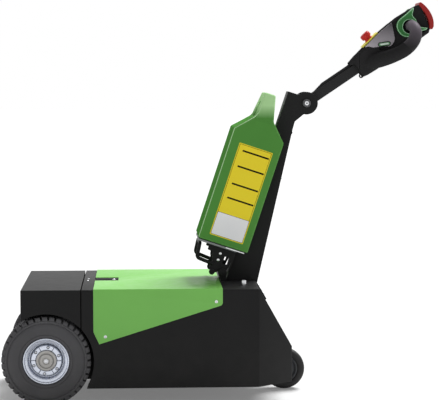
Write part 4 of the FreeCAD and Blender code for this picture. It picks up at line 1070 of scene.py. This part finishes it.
@dataclass
class DriveWheel(Assembly):
    """Lugged tyre on a split steel rim with bolts and a hub cap, laid out round its centre."""

    side: Side
    lugs: int = 38
    lug_tops: tuple[float, ...] = (0.0, 0.32, 0.66)
    lug_gaps: tuple[float, ...] = (0.71, 0.84, 0.95)
    rib_half: float = 6.0
    shoulder: float = 10.0
    chevron: Point2 = (12.0, 0.25)
    sweep: float = 0.012
    wall: tuple[Point2, ...] = (
        (67.6, 30), (68.2, 34.5), (70, 38.4), (73, 40.4), (76.5, 40.4), (77.6, 39.4), (79, 40.6),
        (84, 41.9), (92, 42.4), (98, 42.4), (104, 41.6), (109, 40), (111.2, 38.2), (112.6, 39.2),
        (114.2, 41.2), (117, 41.4), (118.5, 39.4),
    )
    groove: tuple[Point2, ...] = (
        (119.5, 38), (120.5, 35.5), (121.3, 31), (121.8, 24), (122, 15), (122.2, 10),
    )
    lug: tuple[Point2, ...] = (
        (120.5, 40), (126.5, 38.8), (129.2, 36), (129.9, 26), (130, 15.5), (130, 10),
    )
    section: tuple[Point2, ...] = (
        (15, -6), (61.5, -6), (61.5, -33), (64, -35.5), (67, -34.5), (67.5, -32), (67.5, 31), (67.4, 35),
        (66.6, 37.4), (65, 38.4), (63.2, 37.6), (61.8, 35.2), (60.6, 33), (58.4, 31.8), (55.6, 30.2),
        (53.2, 27.2), (51.8, 23.6), (51, 20), (50.4, 9), (45.4, 9), (45, 19.4), (44.2, 20.2), (31, 20.2),
        (30, 18), (15, 18), (15, -6),
    )
    disc: Point2 = (19.5, 22.2)
    segment_radii: Point2 = (31.6, 43.8)
    segment_gap: float = 1.8
    segment_taper: float = 0.4
    cap: tuple[Point2, ...] = (
        (0, 17), (29.5, 17), (29.5, 24.5), (28.8, 25.6), (27, 26.2), (22.6, 26.6), (21.4, 24.4), (20, 24.4),
        (19.2, 28), (18, 29.4), (10.6, 30.2), (9.8, 27.4), (8.2, 27.4), (0, 27.4),
    )
    bolts: int = 6
    bolt_circle: float = 39.0
    first_bolt: float = 22.0

    @property
    def body(self) -> Body:
        """The wheel's rigid body."""
        return Body.LEFT_WHEEL if self.side is Side.LEFT else Body.RIGHT_WHEEL

    @property
    def node(self) -> str:
        """The start of the wheel's CAD node names."""
        return f"drive_{self.side.word}"

    @property
    def seat(self) -> Matrix:
        """Shifts the wheel's centre to its place on the machine."""
        return Matrix.Translation(middle_mm(f"{self.node}_tyre"))

    def turned(self, profile: Sequence[Point2], steps: int = 96) -> Mould:
        """A shape turned about the axle, from (radius, outwards) points."""
        return Mould().lathe([(radius, self.side.value * out) for radius, out in profile], steps)

    def build(self) -> None:
        """Build the tyre, rim, bolts and hub."""
        self.tyre()
        self.rim()
        self.hub()
        self.sheets(Finishes.ZINC, f"{self.node}_shaft")

    def tyre(self) -> None:
        """The tyre: bead, bulged sidewall with a ridge, and staggered shoulder lugs."""
        bottom = mirrored([*self.wall, *self.groove], (124.0, 0.0))
        top = mirrored([*self.wall, *self.lug], (130.0, 0.0))
        pitch = 2 * math.pi / self.lugs
        half, skew = self.chevron
        tyre = Mould()
        rings = []
        shares = [(share, True) for share in self.lug_tops] + [(share, False) for share in self.lug_gaps]
        for turn, raised in ((lug + share, raised) for lug in range(self.lugs) for share, raised in shares):
            points = []
            for low, high in zip(bottom, top):
                radius, along = high if raised or abs(high[1]) < self.rib_half else low
                lead = skew * max(-1.0, min(1.0, along / half))
                if abs(high[1]) >= self.shoulder:
                    lead += self.sweep * along
                angle = pitch * (turn + lead)
                points.append(Vector((radius * math.cos(angle), along, radius * math.sin(angle))))
            rings.append(tyre.ring(points))
        tyre.skin(rings + rings[:1])
        self.fit(tyre, f"{self.node}_tyre_tread", Finishes.TYRE, f"{self.node}_tyre", angle=38)

    def rim(self) -> None:
        """Dished split rim with raised segments and bolts on its disc, and dark rings of painted shade in its
        groove, behind the segments and under the bolts.
        """
        rim = self.turned(self.section, 128)
        self.fit(rim, f"{self.node}_rim_turned", Finishes.RIM, f"{self.node}_rim", angle=28)
        # Painted shade: dark rings in the groove and under the segments.
        for name, inner, outer, depth in (("groove", 45.2, 48.4, 9.4), ("disc", 30.5, 44.4, 20.5)):
            ring = rectangle(inner, outer, depth - 0.8, depth)
            self.fit(self.turned(ring + ring[:1]), f"{self.node}_rim_{name}_shade", Finishes.RIM_SHADE)
        segments, bolts = Mould(), []
        step = 360 / self.bolts
        inner, outer = self.segment_radii
        for start in (i * step for i in range(self.bolts)):
            end, shift = start + step - self.segment_gap, self.segment_taper
            outline = arc((0, 0), outer, start, end, 10) + arc((0, 0), inner, end - shift, start + shift, 8)
            segments.prism(outline, *self.side.span(*self.disc))
            turn = math.radians(self.first_bolt + start)
            across, up = self.bolt_circle * math.cos(turn), self.bolt_circle * math.sin(turn)
            bolts.append((self.seat @ Vector((across, self.side.value * self.disc[1], up)), self.side.out))
        self.fit(segments, f"{self.node}_rim_segments", Finishes.RIM, edges=(0.7, 3, 50))
        self.fasten(f"{self.node}_rim_bolts", bolts, Screw(3.4, 3.0, 1.5))
        # Painted shade: dark seats round the bolts.
        self.fasten(f"{self.node}_bolt_seats", bolts, Screw(4.9, 0.6, 3.0), Finishes.RIM_SHADE)

    def hub(self) -> None:
        """Stepped hub cap with a locknut in its middle."""
        self.fit(self.turned(self.cap), f"{self.node}_hub_cap", Finishes.HUB, f"{self.node}_hub", angle=28)
        nut = self.turned([(0, 33.6), (4.3, 33.6), (4.3, 35.8), (3.2, 37.0), (0, 37.4)], 32)
        nut.prism(arc((0, 0), 7.4, 12, 312, 5), *self.side.span(28.0, 34.0))
        self.fit(nut, f"{self.node}_locknut", Finishes.ZINC, edges=(0.7,))


@dataclass
class Castor(Assembly):
    """What swivels of the castor under the tail."""

    body = Body.CASTOR_SWIVEL
    fork_edge: float = 1.2
    axle_edge: float = 0.8

    def build(self) -> None:
        """Build the fork and the axle."""
        self.sheets(Finishes.ZINC, "castor_fork", rounding=self.fork_edge)
        self.sheets(Finishes.ZINC, "castor_axle", rounding=self.axle_edge)


@dataclass
class CastorWheel(Assembly):
    """The castor's wheel, laid out round its centre."""

    body = Body.CASTOR_WHEEL
    tread: tuple[Point2, ...] = (
        (40, 12), (41, 15.5), (44, 17.6), (48, 18.6), (53, 18.4), (57.5, 16.8), (60.6, 13.4), (62.1, 8),
    )
    radius: float = 62.5
    centre: tuple[Point2, ...] = (
        (6.05, 22), (12.5, 22), (14, 20.5), (14.6, 9), (17, 6.5), (31, 6), (33.2, 8), (34.4, 13), (36, 15),
        (39.2, 15.2), (40, 13.8),
    )

    @property
    def seat(self) -> Matrix:
        """Shifts the wheel's centre to its place on the machine."""
        return Matrix.Translation(middle_mm("castor_tyre"))

    def build(self) -> None:
        """Build the rubber tread and the moulded centre."""
        inside = (self.tread[0][0], 0.0)
        tread = Mould().lathe([inside, *mirrored(self.tread, (self.radius, 0.0)), inside])
        self.fit(tread, "castor_tread", Finishes.CASTOR_RUBBER, "castor_tyre")
        centre = Mould().lathe([*mirrored(self.centre), self.centre[0]])
        self.fit(centre, "castor_centre", Finishes.GREY_MOULDING, "castor_rim")


@dataclass
class Column(Assembly):
    """Leaning column with its rear cover, foot, pivot bolt and cradle."""

    cover_screws: tuple[float, ...] = (783.0, 645.0, 485.0, 355.0)
    screw_side: float = 24.0
    foot_bolts: tuple[float, ...] = (117.0, 133.0)
    foot_side: float = 39.5
    bail_sleeve: float = 0.9
    behind: float = 1000.0
    above: float = 600.0

    def build(self) -> None:
        """Build the column's pieces."""
        screws = [strike("column_cover", (self.behind, side.value * self.screw_side, height), (-1, 0, 0))
                  for height in self.cover_screws for side in Side]
        bolts = [strike("column_foot", (ahead, side.value * self.foot_side, self.above), (0, 0, -1))
                 for ahead in self.foot_bolts for side in Side]
        self.sheets(Finishes.BLACK_COAT, "column", rounding=1.8, segments=4)
        self.sheets(Finishes.BLACK_COAT, "column_cover", "column_foot", "cradle_bracket", "battery_cradle",
                    rounding=0.8)
        self.sheets(Finishes.CAST, "pivot_bolt", rounding=1.2)
        self.bail()
        self.fasten("column_cover_screws", screws, Screw(3.8, 2.6, 1.7), Finishes.BLACK_COAT)
        self.fasten("column_foot_bolts", bolts, Screw(3.9, 2.8, 1.8))
        self.pivot_ends()

    def bail(self) -> None:
        """The cradle's bent bar, in a thin sleeve."""
        bail = Mould().take("cradle_bail")
        bail.bm.normal_update()
        for vertex, way in [(vertex, vertex.normal.copy()) for vertex in bail.bm.verts]:
            vertex.co += way * self.bail_sleeve
        self.fit(bail, "cradle_bail_sleeved", Finishes.BLACK_COAT, "cradle_bail", angle=50)

    def pivot_ends(self) -> None:
        """Bright socket screws in the pivot's two ends, with dark discs of painted shade in their sockets."""
        middle = middle_mm("pivot_bolt")
        spots, sockets = [], Mould()
        for side, end in zip(Side, box_mm("pivot_bolt")):
            spots.append((Vector((middle.x, end.y, middle.z)), side.out))
            # Painted shade: a dark disc in each socket.
            outline = arc((middle.x, middle.z), 2.3, 0, 300, 5)
            sockets.prism(outline, *sorted((end.y, end.y + side.value * 1.5)))
        self.fasten("pivot_screws", spots, Screw(6.6, 2.6, 2.4))
        self.fit(sockets, "pivot_sockets", Finishes.DARK_INK)


@dataclass
class Battery(Assembly):
    """Moulded battery can with its handle, base and blank rating plate, laid out as if it stood upright."""

    lean: float = math.radians(18.27)
    length: float = 155.0
    width: float = 185.0
    tall: float = 339.0
    neck: float = 390.0
    top: float = 462.0
    handle_start: float = 58.0
    handle_end: float = 90.0
    handle_span: float = 128.0
    handle_bar: float = 24.0
    foot: Point2 = (8.0, 17.0)
    shoulder_drop: float = 8.0
    slot_slant: float = 6.0
    groove: float = 33.0
    groove_half: float = 34.5
    corner: float = 4.0
    skirt: float = 4.5
    crown: float = 5.0
    bead_inset: float = 1.4
    bead_radius: float = 1.3
    bars: tuple[float, ...] = (279.0, 231.0, 177.0, 133.0)
    rail: Point3 = (88.0, 146.0, 26.0)
    rivets: tuple[Point2, ...] = ((81.2, -33.5), (80.8, -54.0))
    rivet_side: float = 59.2

    @property
    def seat(self) -> Matrix:
        """The leaning seat, from the can's lower front corner at the machine's middle.

        Returns:
            The matrix that turns the can's coordinates into the machine's.
        """
        low, _ = box_mm("battery_box")
        corner = (low.x, 0.0, low.z + self.length * math.sin(self.lean))
        return Matrix.Translation(corner) @ Matrix.Rotation(self.lean, 4, "Y")

    def build(self) -> None:
        """Build the can, base, rails and plate."""
        self.can()
        self.beads()
        down = self.seat.to_3x3() @ Vector((0, 0, -self.skirt))
        base = Mould().take("battery_base").shift(*down).object("battery_base_finished")
        dress(round_edges(base, 0.8), Finishes.DULL_ZINC, self.body, "battery_base")
        self.rails()
        self.plate()

    def can(self) -> None:
        """The can: shouldered box with a handle, a groove for the column and rounded edges."""
        length, half = self.length, self.width / 2
        low, top, past = -self.skirt, self.top + self.crown, 5
        ahead, behind = self.handle_start - self.foot[0], self.handle_end + self.foot[1]
        outline = [(0, low), (length, low), (length, self.tall), (behind, self.neck), (self.handle_end, top),
                   (self.handle_start, top), (ahead, self.neck), (0, self.tall)]
        can = Mould().prism(outline, -half, half).object("can")
        shoulder, above, hand = self.neck - self.shoulder_drop, self.top + 10, self.handle_span / 2
        trim = [(half, shoulder), (hand, above), (self.width, above), (self.width, shoulder)]
        slot, ceiling, slant = hand - self.handle_bar, self.top - self.handle_bar, self.slot_slant
        opening = [(-slot, self.neck), (slot, self.neck), (slot - slant, ceiling), (slant - slot, ceiling)]
        outlines = [*([(side.value * y, z) for y, z in trim] for side in Side), opening]
        cutters = [Mould().prism(outline, -past, length + past, Axis.X) for outline in outlines]
        channel = rectangle(length - self.groove, length + past, -self.groove_half, self.groove_half)
        cutters.append(Mould().prism(channel, low - past, top + past, Axis.Z))
        cut(can, *(cutter.object("cutter") for cutter in cutters))
        self.fit(can, "battery_can", Finishes.GREEN_MOULDING, "battery_box", edges=(self.corner, 5, 15))

    def beads(self) -> None:
        """The moulding's fine bead along both front edges, up the shoulder and the handle, in a pale colour
        that is a painted highlight.
        """
        beads = Mould()
        inset, radius = self.bead_inset, self.bead_radius
        for side in Side:
            edge = side.value * (self.width / 2 - inset)
            hand = side.value * (self.handle_span / 2 - inset + 1)
            beads.tube([
                (inset, edge, 4 - self.skirt, radius), (inset, edge, self.tall - 2, radius),
                (self.handle_start - 10, edge, self.neck - 2.8, radius),
                (self.handle_start - 2, hand + side.value * 22, self.neck + 14, radius * 0.9),
                (self.handle_start + inset, hand, self.top + self.crown - 5, radius * 0.7),
            ], 12)
        self.fit(beads, "battery_beads", Finishes.GREEN_BEAD)

    def rails(self) -> None:
        """Slide rails under both sides of the can, past the column's front, and the cradle's rivets."""
        start, end, flange = self.rail
        top, drop, half = -self.skirt - 2.6, 3.4, self.width / 2
        rails = Mould().pair(rectangle(start, end, top - drop, top), half - 1.5, half - flange)
        self.fit(rails, "battery_rails", Finishes.ZINC, edges=(0.7, 2))
        spots = [(self.seat @ Vector((along, side.value * self.rivet_side, up)), side.out)
                 for side in Side for along, up in self.rivets]
        self.fasten("cradle_rivets", spots, Screw(4.3, 1.8, 1.0))

    def plate(self) -> None:
        """Blank plate on the near face: yellow above, pale below, with dark bars."""
        face, sunk = -self.width / 2, 0.2
        for name, finish, across, up, proud in (
            ("plate_border", Finishes.YELLOW, (29, 133), (16, 302), 0.30),
            ("plate_line", Finishes.DARK_INK, (31.5, 130.5), (18.5, 299.5), 0.36),
            ("plate_yellow", Finishes.YELLOW, (32.6, 129.4), (88, 298.4), 0.42),
            ("plate_pale", Finishes.PALE_SHEET, (32.6, 129.4), (19.6, 87), 0.42),
        ):
            self.fit(Mould().prism(rounded(across, up, 2.0, 4), face - proud, face + sunk), name, finish)
        bars = Mould()
        for height in self.bars:
            bars.prism(rectangle(45, 127, height, height + 5.0), face - 0.48, face - sunk)
        self.fit(bars, "plate_bars", Finishes.DARK_INK)


@dataclass
class Tiller(Assembly):
    """Arm, control head, grips and controls, laid out along the arm, across it and up from it."""

    body = Body.TILLER
    tilt: float = math.radians(34.0)
    half_width: float = 38.0
    recess_half: float = 31.0
    skin: float = 1.8
    soften: int = 7
    sections: tuple[tuple[float, ...], ...] = (
        (187, 30, -31, 31, 8), (200, 34, -33.5, 34, 10), (229, 38, -35, 40, 12), (264, 38, -34.6, 46.5, 11),
        (300, 38, -34, 53, 10), (336, 38, -33.4, 57, 9), (372, 38, -33, 60, 8), (424, 38, -31, 58, 7),
    )
    nose: tuple[Point2, ...] = (
        (431, -21), (438, -8), (441.5, 1), (444, 13), (444.8, 26), (444.2, 40), (443, 55.6),
    )
    nose_reach: float = 3.0
    nose_narrowing: float = 0.94
    grip: tuple[tuple[float, ...], ...] = (
        (211.5, 12, -2, 19), (237.5, 32, -9, 23), (261.5, 56, -17, 22.5), (291.5, 86.5, -24, 21),
        (327.5, 106.5, -27, 20), (359.5, 109.5, -19, 19), (378.5, 103.5, -4, 18), (386, 87.5, 10, 16.7),
        (387.5, 66.5, 18, 15.5), (387.5, 46.5, 18, 15.5), (387.5, 24, 18, 15.5),
    )
    sleeve_start: int = 34
    recess: tuple[Point2, ...] = (
        (267, 16), (281, -1), (316, -12.5), (449, -21.5), (449, 66), (347, 66), (333.5, 27), (325.5, 10.5),
        (314.5, 4.3), (303, 2), (288, 10.5),
    )
    neck: tuple[Point2, ...] = ((174.5, 19.8), (188, 13.4), (206, 13.4), (206, 36), (188, 31), (174.5, 27.4))
    console: tuple[Point2, ...] = (
        (238.5, 42.2), (249, 37.6), (255, 31), (258, 27.4), (272.5, 20.4), (288, 11.6), (303.3, 2.4),
        (309, 2.6), (314.4, 4.3), (320.5, 7), (325.4, 10.6), (330, 18.4), (333.5, 27), (340, 43),
        (346.4, 58.6), (336, 57.7), (318, 56), (300, 53.8), (264, 47.2),
    )
    console_half: float = 39.0
    console_edge: float = 1.6
    console_drop: float = 0.9
    seam: tuple[Point2, Point2] = ((215.5, 39), (171, -31))
    seam_width: float = 1.6
    seam_depth: float = 2.6
    neck_half: float = 26.0
    eye: Point2 = (186.0, -26.5)
    eye_hole: float = 3.4
    lug_radius: float = 7.4
    lug_half: float = 4.0
    lug_root: tuple[Point2, Point2] = ((12, -5), (12, 6.5))
    head_reach: float = 61.0
    gland: tuple[tuple[float, ...], ...] = (
        (150, 0, 14, 5), (160, 0, 15, 5.4), (163, 0, 15.4, 7.2), (170, 0, 16.6, 7.6), (180, 0, 18.4, 8),
        (194, 0, 21, 8.4),
    )
    horn: Point2 = (292.0, 16.5)
    horn_tilt: float = math.radians(-26.0)
    horn_reach: float = 12.5
    horn_radius: float = 5.5
    paddle: tuple[Point2, ...] = (
        (411, 57.2), (418, 58.8), (422.8, 59), (423.6, 56.4), (420, 52), (413.4, 46.4), (409.4, 41),
        (409.6, 33), (410.6, 24), (408.4, 14), (408, 7), (411, -1), (418, -8.6), (423.6, -12.4),
        (424.6, -16), (420.4, -17.8), (412, -15.6), (400, -11), (388, -9.2), (376, -9.2), (363.3, -6),
        (351.4, 5), (346.4, 22.6), (350.6, 40), (361, 49.6), (372, 53), (384, 54.4), (398, 55.6),
    )
    paddle_hole: Point2 = (383.4, 17.6)
    paddle_hole_radius: float = 20.4
    paddle_span: Point2 = (31.6, 46.8)
    paddle_edge: float = 2.6
    paddle_bead: Point3 = (1.7, 1.0, 46.2)
    band_face: tuple[Point2, ...] = (
        (453, 59.6), (457.4, 46), (460, 30), (460, 15), (457.6, 1), (452.6, -12), (445.5, -23),
    )
    stop_profile: tuple[Point2, ...] = (
        (0, -0.6), (12.4, -0.6), (13, 0.2), (13, 3.2), (12.4, 3.9), (11.4, 4.2), (11.2, 6.6), (14.4, 7.6),
        (15.7, 8.7), (16, 10.2), (16, 18.8), (15.5, 20.9), (14.1, 22.5), (11.8, 23.5), (8, 23.9), (0, 24),
    )
    stop: Point2 = (266.2, 51.9)
    stop_slope: float = math.radians(10.6)

    @property
    def seat(self) -> Matrix:
        """Turns the tiller's coordinates into the machine's."""
        return Matrix.Translation(middle_mm("pivot_bolt")) @ Matrix.Rotation(-self.tilt, 4, "Y")

    def build(self) -> None:
        """Build the tiller's pieces."""
        self.sheets(Finishes.ARM_COAT, "tiller_arm", "cable_cover", rounding=1.5)
        self.shell()
        self.console_panels()
        self.horn_buttons()
        for side in Side:
            self.paddle_ring(side)
            self.paddle_beads(side)
            self.grip_sleeve(side)
        self.cable_gland()
        self.band()
        self.sheets(Finishes.LEMON, "stop_plate")
        self.stop_button()

    def core(self, inset: float = 0.0) -> Mould:
        """The head's middle, lofted through rounded rectangles.

        Args:
            inset: how far its walls stay inside the head's.

        Returns:
            The mould.
        """
        rings = []
        for along, half, bottom, top, corner in self.sections:
            reach = half - inset
            outline = rounded((-reach, reach), (bottom + inset, top - inset), corner - inset / 2, 7)
            rings.append([Vector((along, y, z)) for y, z in outline])
        _, _, bottom, top, _ = self.sections[-1]
        end = []
        for point in rings[-1]:
            spot = (point.z - bottom) / (top - bottom) * (len(self.nose) - 1)
            index = min(int(spot), len(self.nose) - 2)
            (x0, z0), (x1, z1) = self.nose[index:index + 2]
            part = spot - index
            ahead = x0 + (x1 - x0) * part + self.nose_reach - inset
            end.append(Vector((ahead, point.y * self.nose_narrowing, z0 + (z1 - z0) * part)))
        return Mould().loft([*rings, end])

    def grip_path(self, side: Side, extra: float = 0.0) -> list[tuple[float, ...]]:
        """A grip's way as (x, y, z, radius) points, with something added to its radius."""
        return smooth_path([(p, side.value * y, q, radius + extra) for p, y, q, radius in self.grip], 8)

    def shell(self) -> None:
        """The head and both grip loops melted into one moulded skin, with recesses, a seam and the eye."""
        reach = self.head_reach
        recesses = [Mould().prism(self.recess, *side.span(self.recess_half, reach)) for side in Side]
        core = cut(self.core().object("core"), *(recess.object("recess") for recess in recesses))
        x, z = self.eye
        root = [(x + ahead, z + up) for ahead, up in self.lug_root]
        lug = [*arc(self.eye, self.lug_radius, 90, 270, 12), *root]
        parts = [*(Mould().tube(self.grip_path(side), 32) for side in Side),
                 Mould().prism(self.neck, -self.neck_half, self.neck_half),
                 Mould().prism(lug, -self.lug_half, self.lug_half)]
        head = melt(core, *(part.object("part") for part in parts), voxel=self.skin, passes=self.soften)
        drill = self.eye_hole
        hole = Mould().lathe([(0, -reach), (drill, -reach), (drill, reach), (0, reach)], 24).shift(x, 0, z)
        cut(head, hole.object("hole"), self.seam_ring())
        nodes = ("tiller_head", "grip_loop_left", "grip_loop_right")
        self.fit(head, "head_shell", Finishes.HEAD_MOULDING, *nodes, angle=40)

    def seam_ring(self) -> Thing:
        """The ring that cuts the slanted seam between the neck sleeve and the head.

        Returns:
            The ring.
        """
        (x0, z0), (x1, z1) = self.seam
        width = self.seam_width
        outline = [(x0, z0), (x0 + width, z0), (x1 + width, z1), (x1, z1)]
        slab = Mould().prism(outline, -self.head_reach, self.head_reach)
        return cut(slab.object("ring"), self.core(self.seam_depth).object("core"))

    def grip_sleeve(self, side: Side) -> None:
        """The soft sleeve over a grip's upper bend and root, whose finish carries a painted sheen that
        lightens towards the top.
        """
        sleeve = Mould().tube(self.grip_path(side, 0.2)[self.sleeve_start:], 40)
        self.fit(sleeve, f"grip_sleeve_{side.word}", Finishes.GRIP_SLEEVE, angle=60)

    def cable_gland(self) -> None:
        """The rubber gland through which the cable enters the head."""
        self.fit(Mould().tube(self.gland), "cable_gland", Finishes.HEAD_MOULDING)

    def console_panels(self) -> None:
        """The grey raised panels on both flanks, which carry the horn buttons; their colour darkens towards
        the top as painted light and shade.
        """
        outline = [(x, z - self.console_drop) for x, z in self.console]
        panels = Mould().pair(outline, self.recess_half - 2, self.console_half)
        self.fit(panels, "console_panels", Finishes.CONSOLE, edges=(self.console_edge, 4, 38), angle=38)

    def oval(self, reach: float, radius: float) -> list[Point2]:
        """The outline of a horn button.

        Args:
            reach: half the length between its round ends' centres.
            radius: the radius of its ends.

        Returns:
            The points.
        """
        cos, sin = math.cos(self.horn_tilt), math.sin(self.horn_tilt)
        outline = arc((reach, 0), radius, -90, 90, 12) + arc((-reach, 0), radius, 90, 270, 12)
        return [(self.horn[0] + a * cos - b * sin, self.horn[1] + a * sin + b * cos) for a, b in outline]

    def horn_buttons(self) -> None:
        """Long oval buttons on both flanks, each with a pale inlay that is a painted highlight and a dark
        surround.
        """
        reach, radius, head, console = self.horn_reach, self.horn_radius, self.half_width, self.console_half
        for name, finish, nodes, outline, depths, edges in (
            ("horn_buttons_oval", Finishes.GREEN_CONTROL, ("horn_buttons",), self.oval(reach, radius - 0.5),
             (console - 3, head + 3.6), (2.2, 4, 50)),
            ("horn_button_inlays", Finishes.BUTTON_INLAY, (), self.oval(reach - 1.8, radius - 2.8),
             (head, head + 4.3), (0.6, 2, 50)),
            ("horn_button_surrounds", Finishes.HEAD_MOULDING, (), self.oval(reach, radius + 1.6),
             (console - 2, console + 0.7), (0.5, 2, 50)),
        ):
            self.fit(Mould().pair(outline, *depths), name, finish, *nodes, edges=edges)

    def paddle_outline(self) -> list[tuple[float, ...]]:
        """A paddle's outline, smoothed."""
        return smooth_path([*self.paddle, self.paddle[0]], 3)[:-1]

    def paddle_ring(self, side: Side) -> None:
        """One speed paddle: a crescent with two horns round the grip's root.

        Args:
            side: the paddle's side.
        """
        near, far = side.span(*self.paddle_span)
        hole = arc(self.paddle_hole, self.paddle_hole_radius, 0, 354, 59)
        ring = cut(Mould().prism(self.paddle_outline(), near, far).object("ring"),
                   Mould().prism(hole, near - 5, far + 5).object("hole"))
        self.fit(ring, f"paddle_{side.word}_ring", Finishes.PADDLE, f"paddle_{side.word}",
                 edges=(self.paddle_edge, 4, 50), angle=38)

    def paddle_beads(self, side: Side) -> None:
        """The pale beads along a paddle's outer edge and round its hole, whose pale colour is a painted
        highlight.

        Args:
            side: the paddle's side.
        """
        outline = self.paddle_outline()
        inset, radius, face = self.paddle_bead
        y = side.value * face
        edge = []
        for (x0, z0), (x, z), (x1, z1) in zip(outline[-1:] + outline, outline, outline[1:] + outline[:1]):
            length = math.hypot(x1 - x0, z1 - z0)
            edge.append((x + (z1 - z0) / length * inset, y, z - (x1 - x0) / length * inset, radius))
        hole = arc(self.paddle_hole, self.paddle_hole_radius + inset, 0, 360, 48)
        beads = Mould().tube(edge + edge[:1], 10).tube([(x, y, z, radius) for x, z in hole], 10)
        self.fit(beads, f"paddle_{side.word}_beads", Finishes.PADDLE_BEAD, angle=60)

    def band(self) -> None:
        """The red safety band across the head's end."""
        outline = [(445.4, 57.0), (448.8, 60.2), *smooth_path(self.band_face, 4), (437, -28), (432.6, -23),
                   *((x + 0.5, z) for x, z in self.nose)]
        band = Mould().prism(outline, -self.half_width, self.half_width)
        self.fit(band, "safety_band", Finishes.RED, "belly_switch", edges=(2.4, 5, 50), angle=38)

    def stop_button(self) -> None:
        """The emergency stop: collar, waist and a round mushroom head."""
        button = Mould().lathe(self.stop_profile, 72, Axis.Z).move(Matrix.Rotation(-self.stop_slope, 4, "Y"))
        button.shift(self.stop[0], 0, self.stop[1])
        self.fit(button, "stop_button_turned", Finishes.STOP_RED, "stop_button", angle=30)


# ------------------------------------------------------------------ studio


@dataclass
class Studio:
    """Pale floor, soft light and the camera."""

    camera_place: Point3 = (-0.2465, -4.674, 0.951)
    yaw: float = -3.035
    pitch: float = -4.546
    lens: float = 127.036
    sensor: float = 36.0
    sight: float = 200.0
    world_light: float = 0.34
    sun_strength: float = 3.45
    sun_width: float = 30.0
    sun_turn: Point2 = (-22.0, 24.0)
    floor_size: float = 40000.0
    floor_shade: float = 0.77
    floor_glow: float = 0.17
    floor_clouds: Pattern = Pattern(3.0, 2.0, 0.3, 0.7)

    def build(self) -> None:
        """Build the world, floor, lamp and camera."""
        self.world()
        self.floor()
        self.lamp()
        self.camera()

    def world(self) -> None:
        """White where the camera or a reflection looks, softer as light."""
        world = bpy.data.worlds.new("studio_world")
        bpy.context.scene.world = world
        world.use_nodes = True
        graph = Graph(world.node_tree, "BACKGROUND")
        strength = graph.ramp(graph.seen(), 0.0, 1.0, self.world_light, 1.0)
        graph.feed(graph.end, {"Color": (1.0, 1.0, 1.0, 1.0), "Strength": strength})

    def floor(self) -> None:
        """A wide plain floor."""
        size = self.floor_size
        mould = Mould()
        mould.bm.faces.new(mould.ring(Vector((x, y, 0)) for x, y in rectangle(-size, size, -size, size)))
        floor = mould.object("studio_floor")
        paint = Paint("floor_paint")
        shades = [(shade, shade, shade) for shade in (self.floor_shade * 0.99, self.floor_shade)]
        paint.feed(paint.end, {
            "Base Color": paint.mix(paint.patches(self.floor_clouds, 0.0, 1.0), *shades), "Roughness": 0.9,
            "Specular IOR Level": 0.0, "Emission Color": (1.0, 1.0, 1.0, 1.0),
            "Emission Strength": paint.math("MULTIPLY", paint.seen(), self.floor_glow),
        })
        floor.data.materials.append(paint.material)

    def lamp(self) -> None:
        """One broad soft lamp overhead, slightly to the front."""
        lamp = bpy.data.lights.new("overhead", "SUN")
        lamp.energy = self.sun_strength
        lamp.angle = math.radians(self.sun_width)
        link("overhead", lamp).rotation_euler = (*map(math.radians, self.sun_turn), 0)

    def camera(self) -> None:
        """The camera, low and level beside the machine, turned slightly to its rear."""
        camera = bpy.data.cameras.new("camera")
        camera.sensor_width = self.sensor
        camera.lens = self.lens
        camera.clip_end = self.sight
        thing = link("camera", camera)
        thing.location = self.camera_place
        thing.rotation_euler = (math.radians(90 + self.pitch), 0.0, math.radians(self.yaw))
        bpy.context.scene.camera = thing


def main() -> None:
    """Build the studio and every sub-assembly in order."""
    logging.basicConfig(level=logging.INFO, format="%(name)s: %(message)s")
    bpy.context.scene.view_settings.view_transform = "Standard"
    Studio().build()
    wheels = [DriveWheel(side) for side in Side]
    for assembly in (Chassis(), *wheels, Castor(), CastorWheel(), Column(), Battery(), Tiller()):
        assembly.build()


if __name__ == "__main__":
    main()
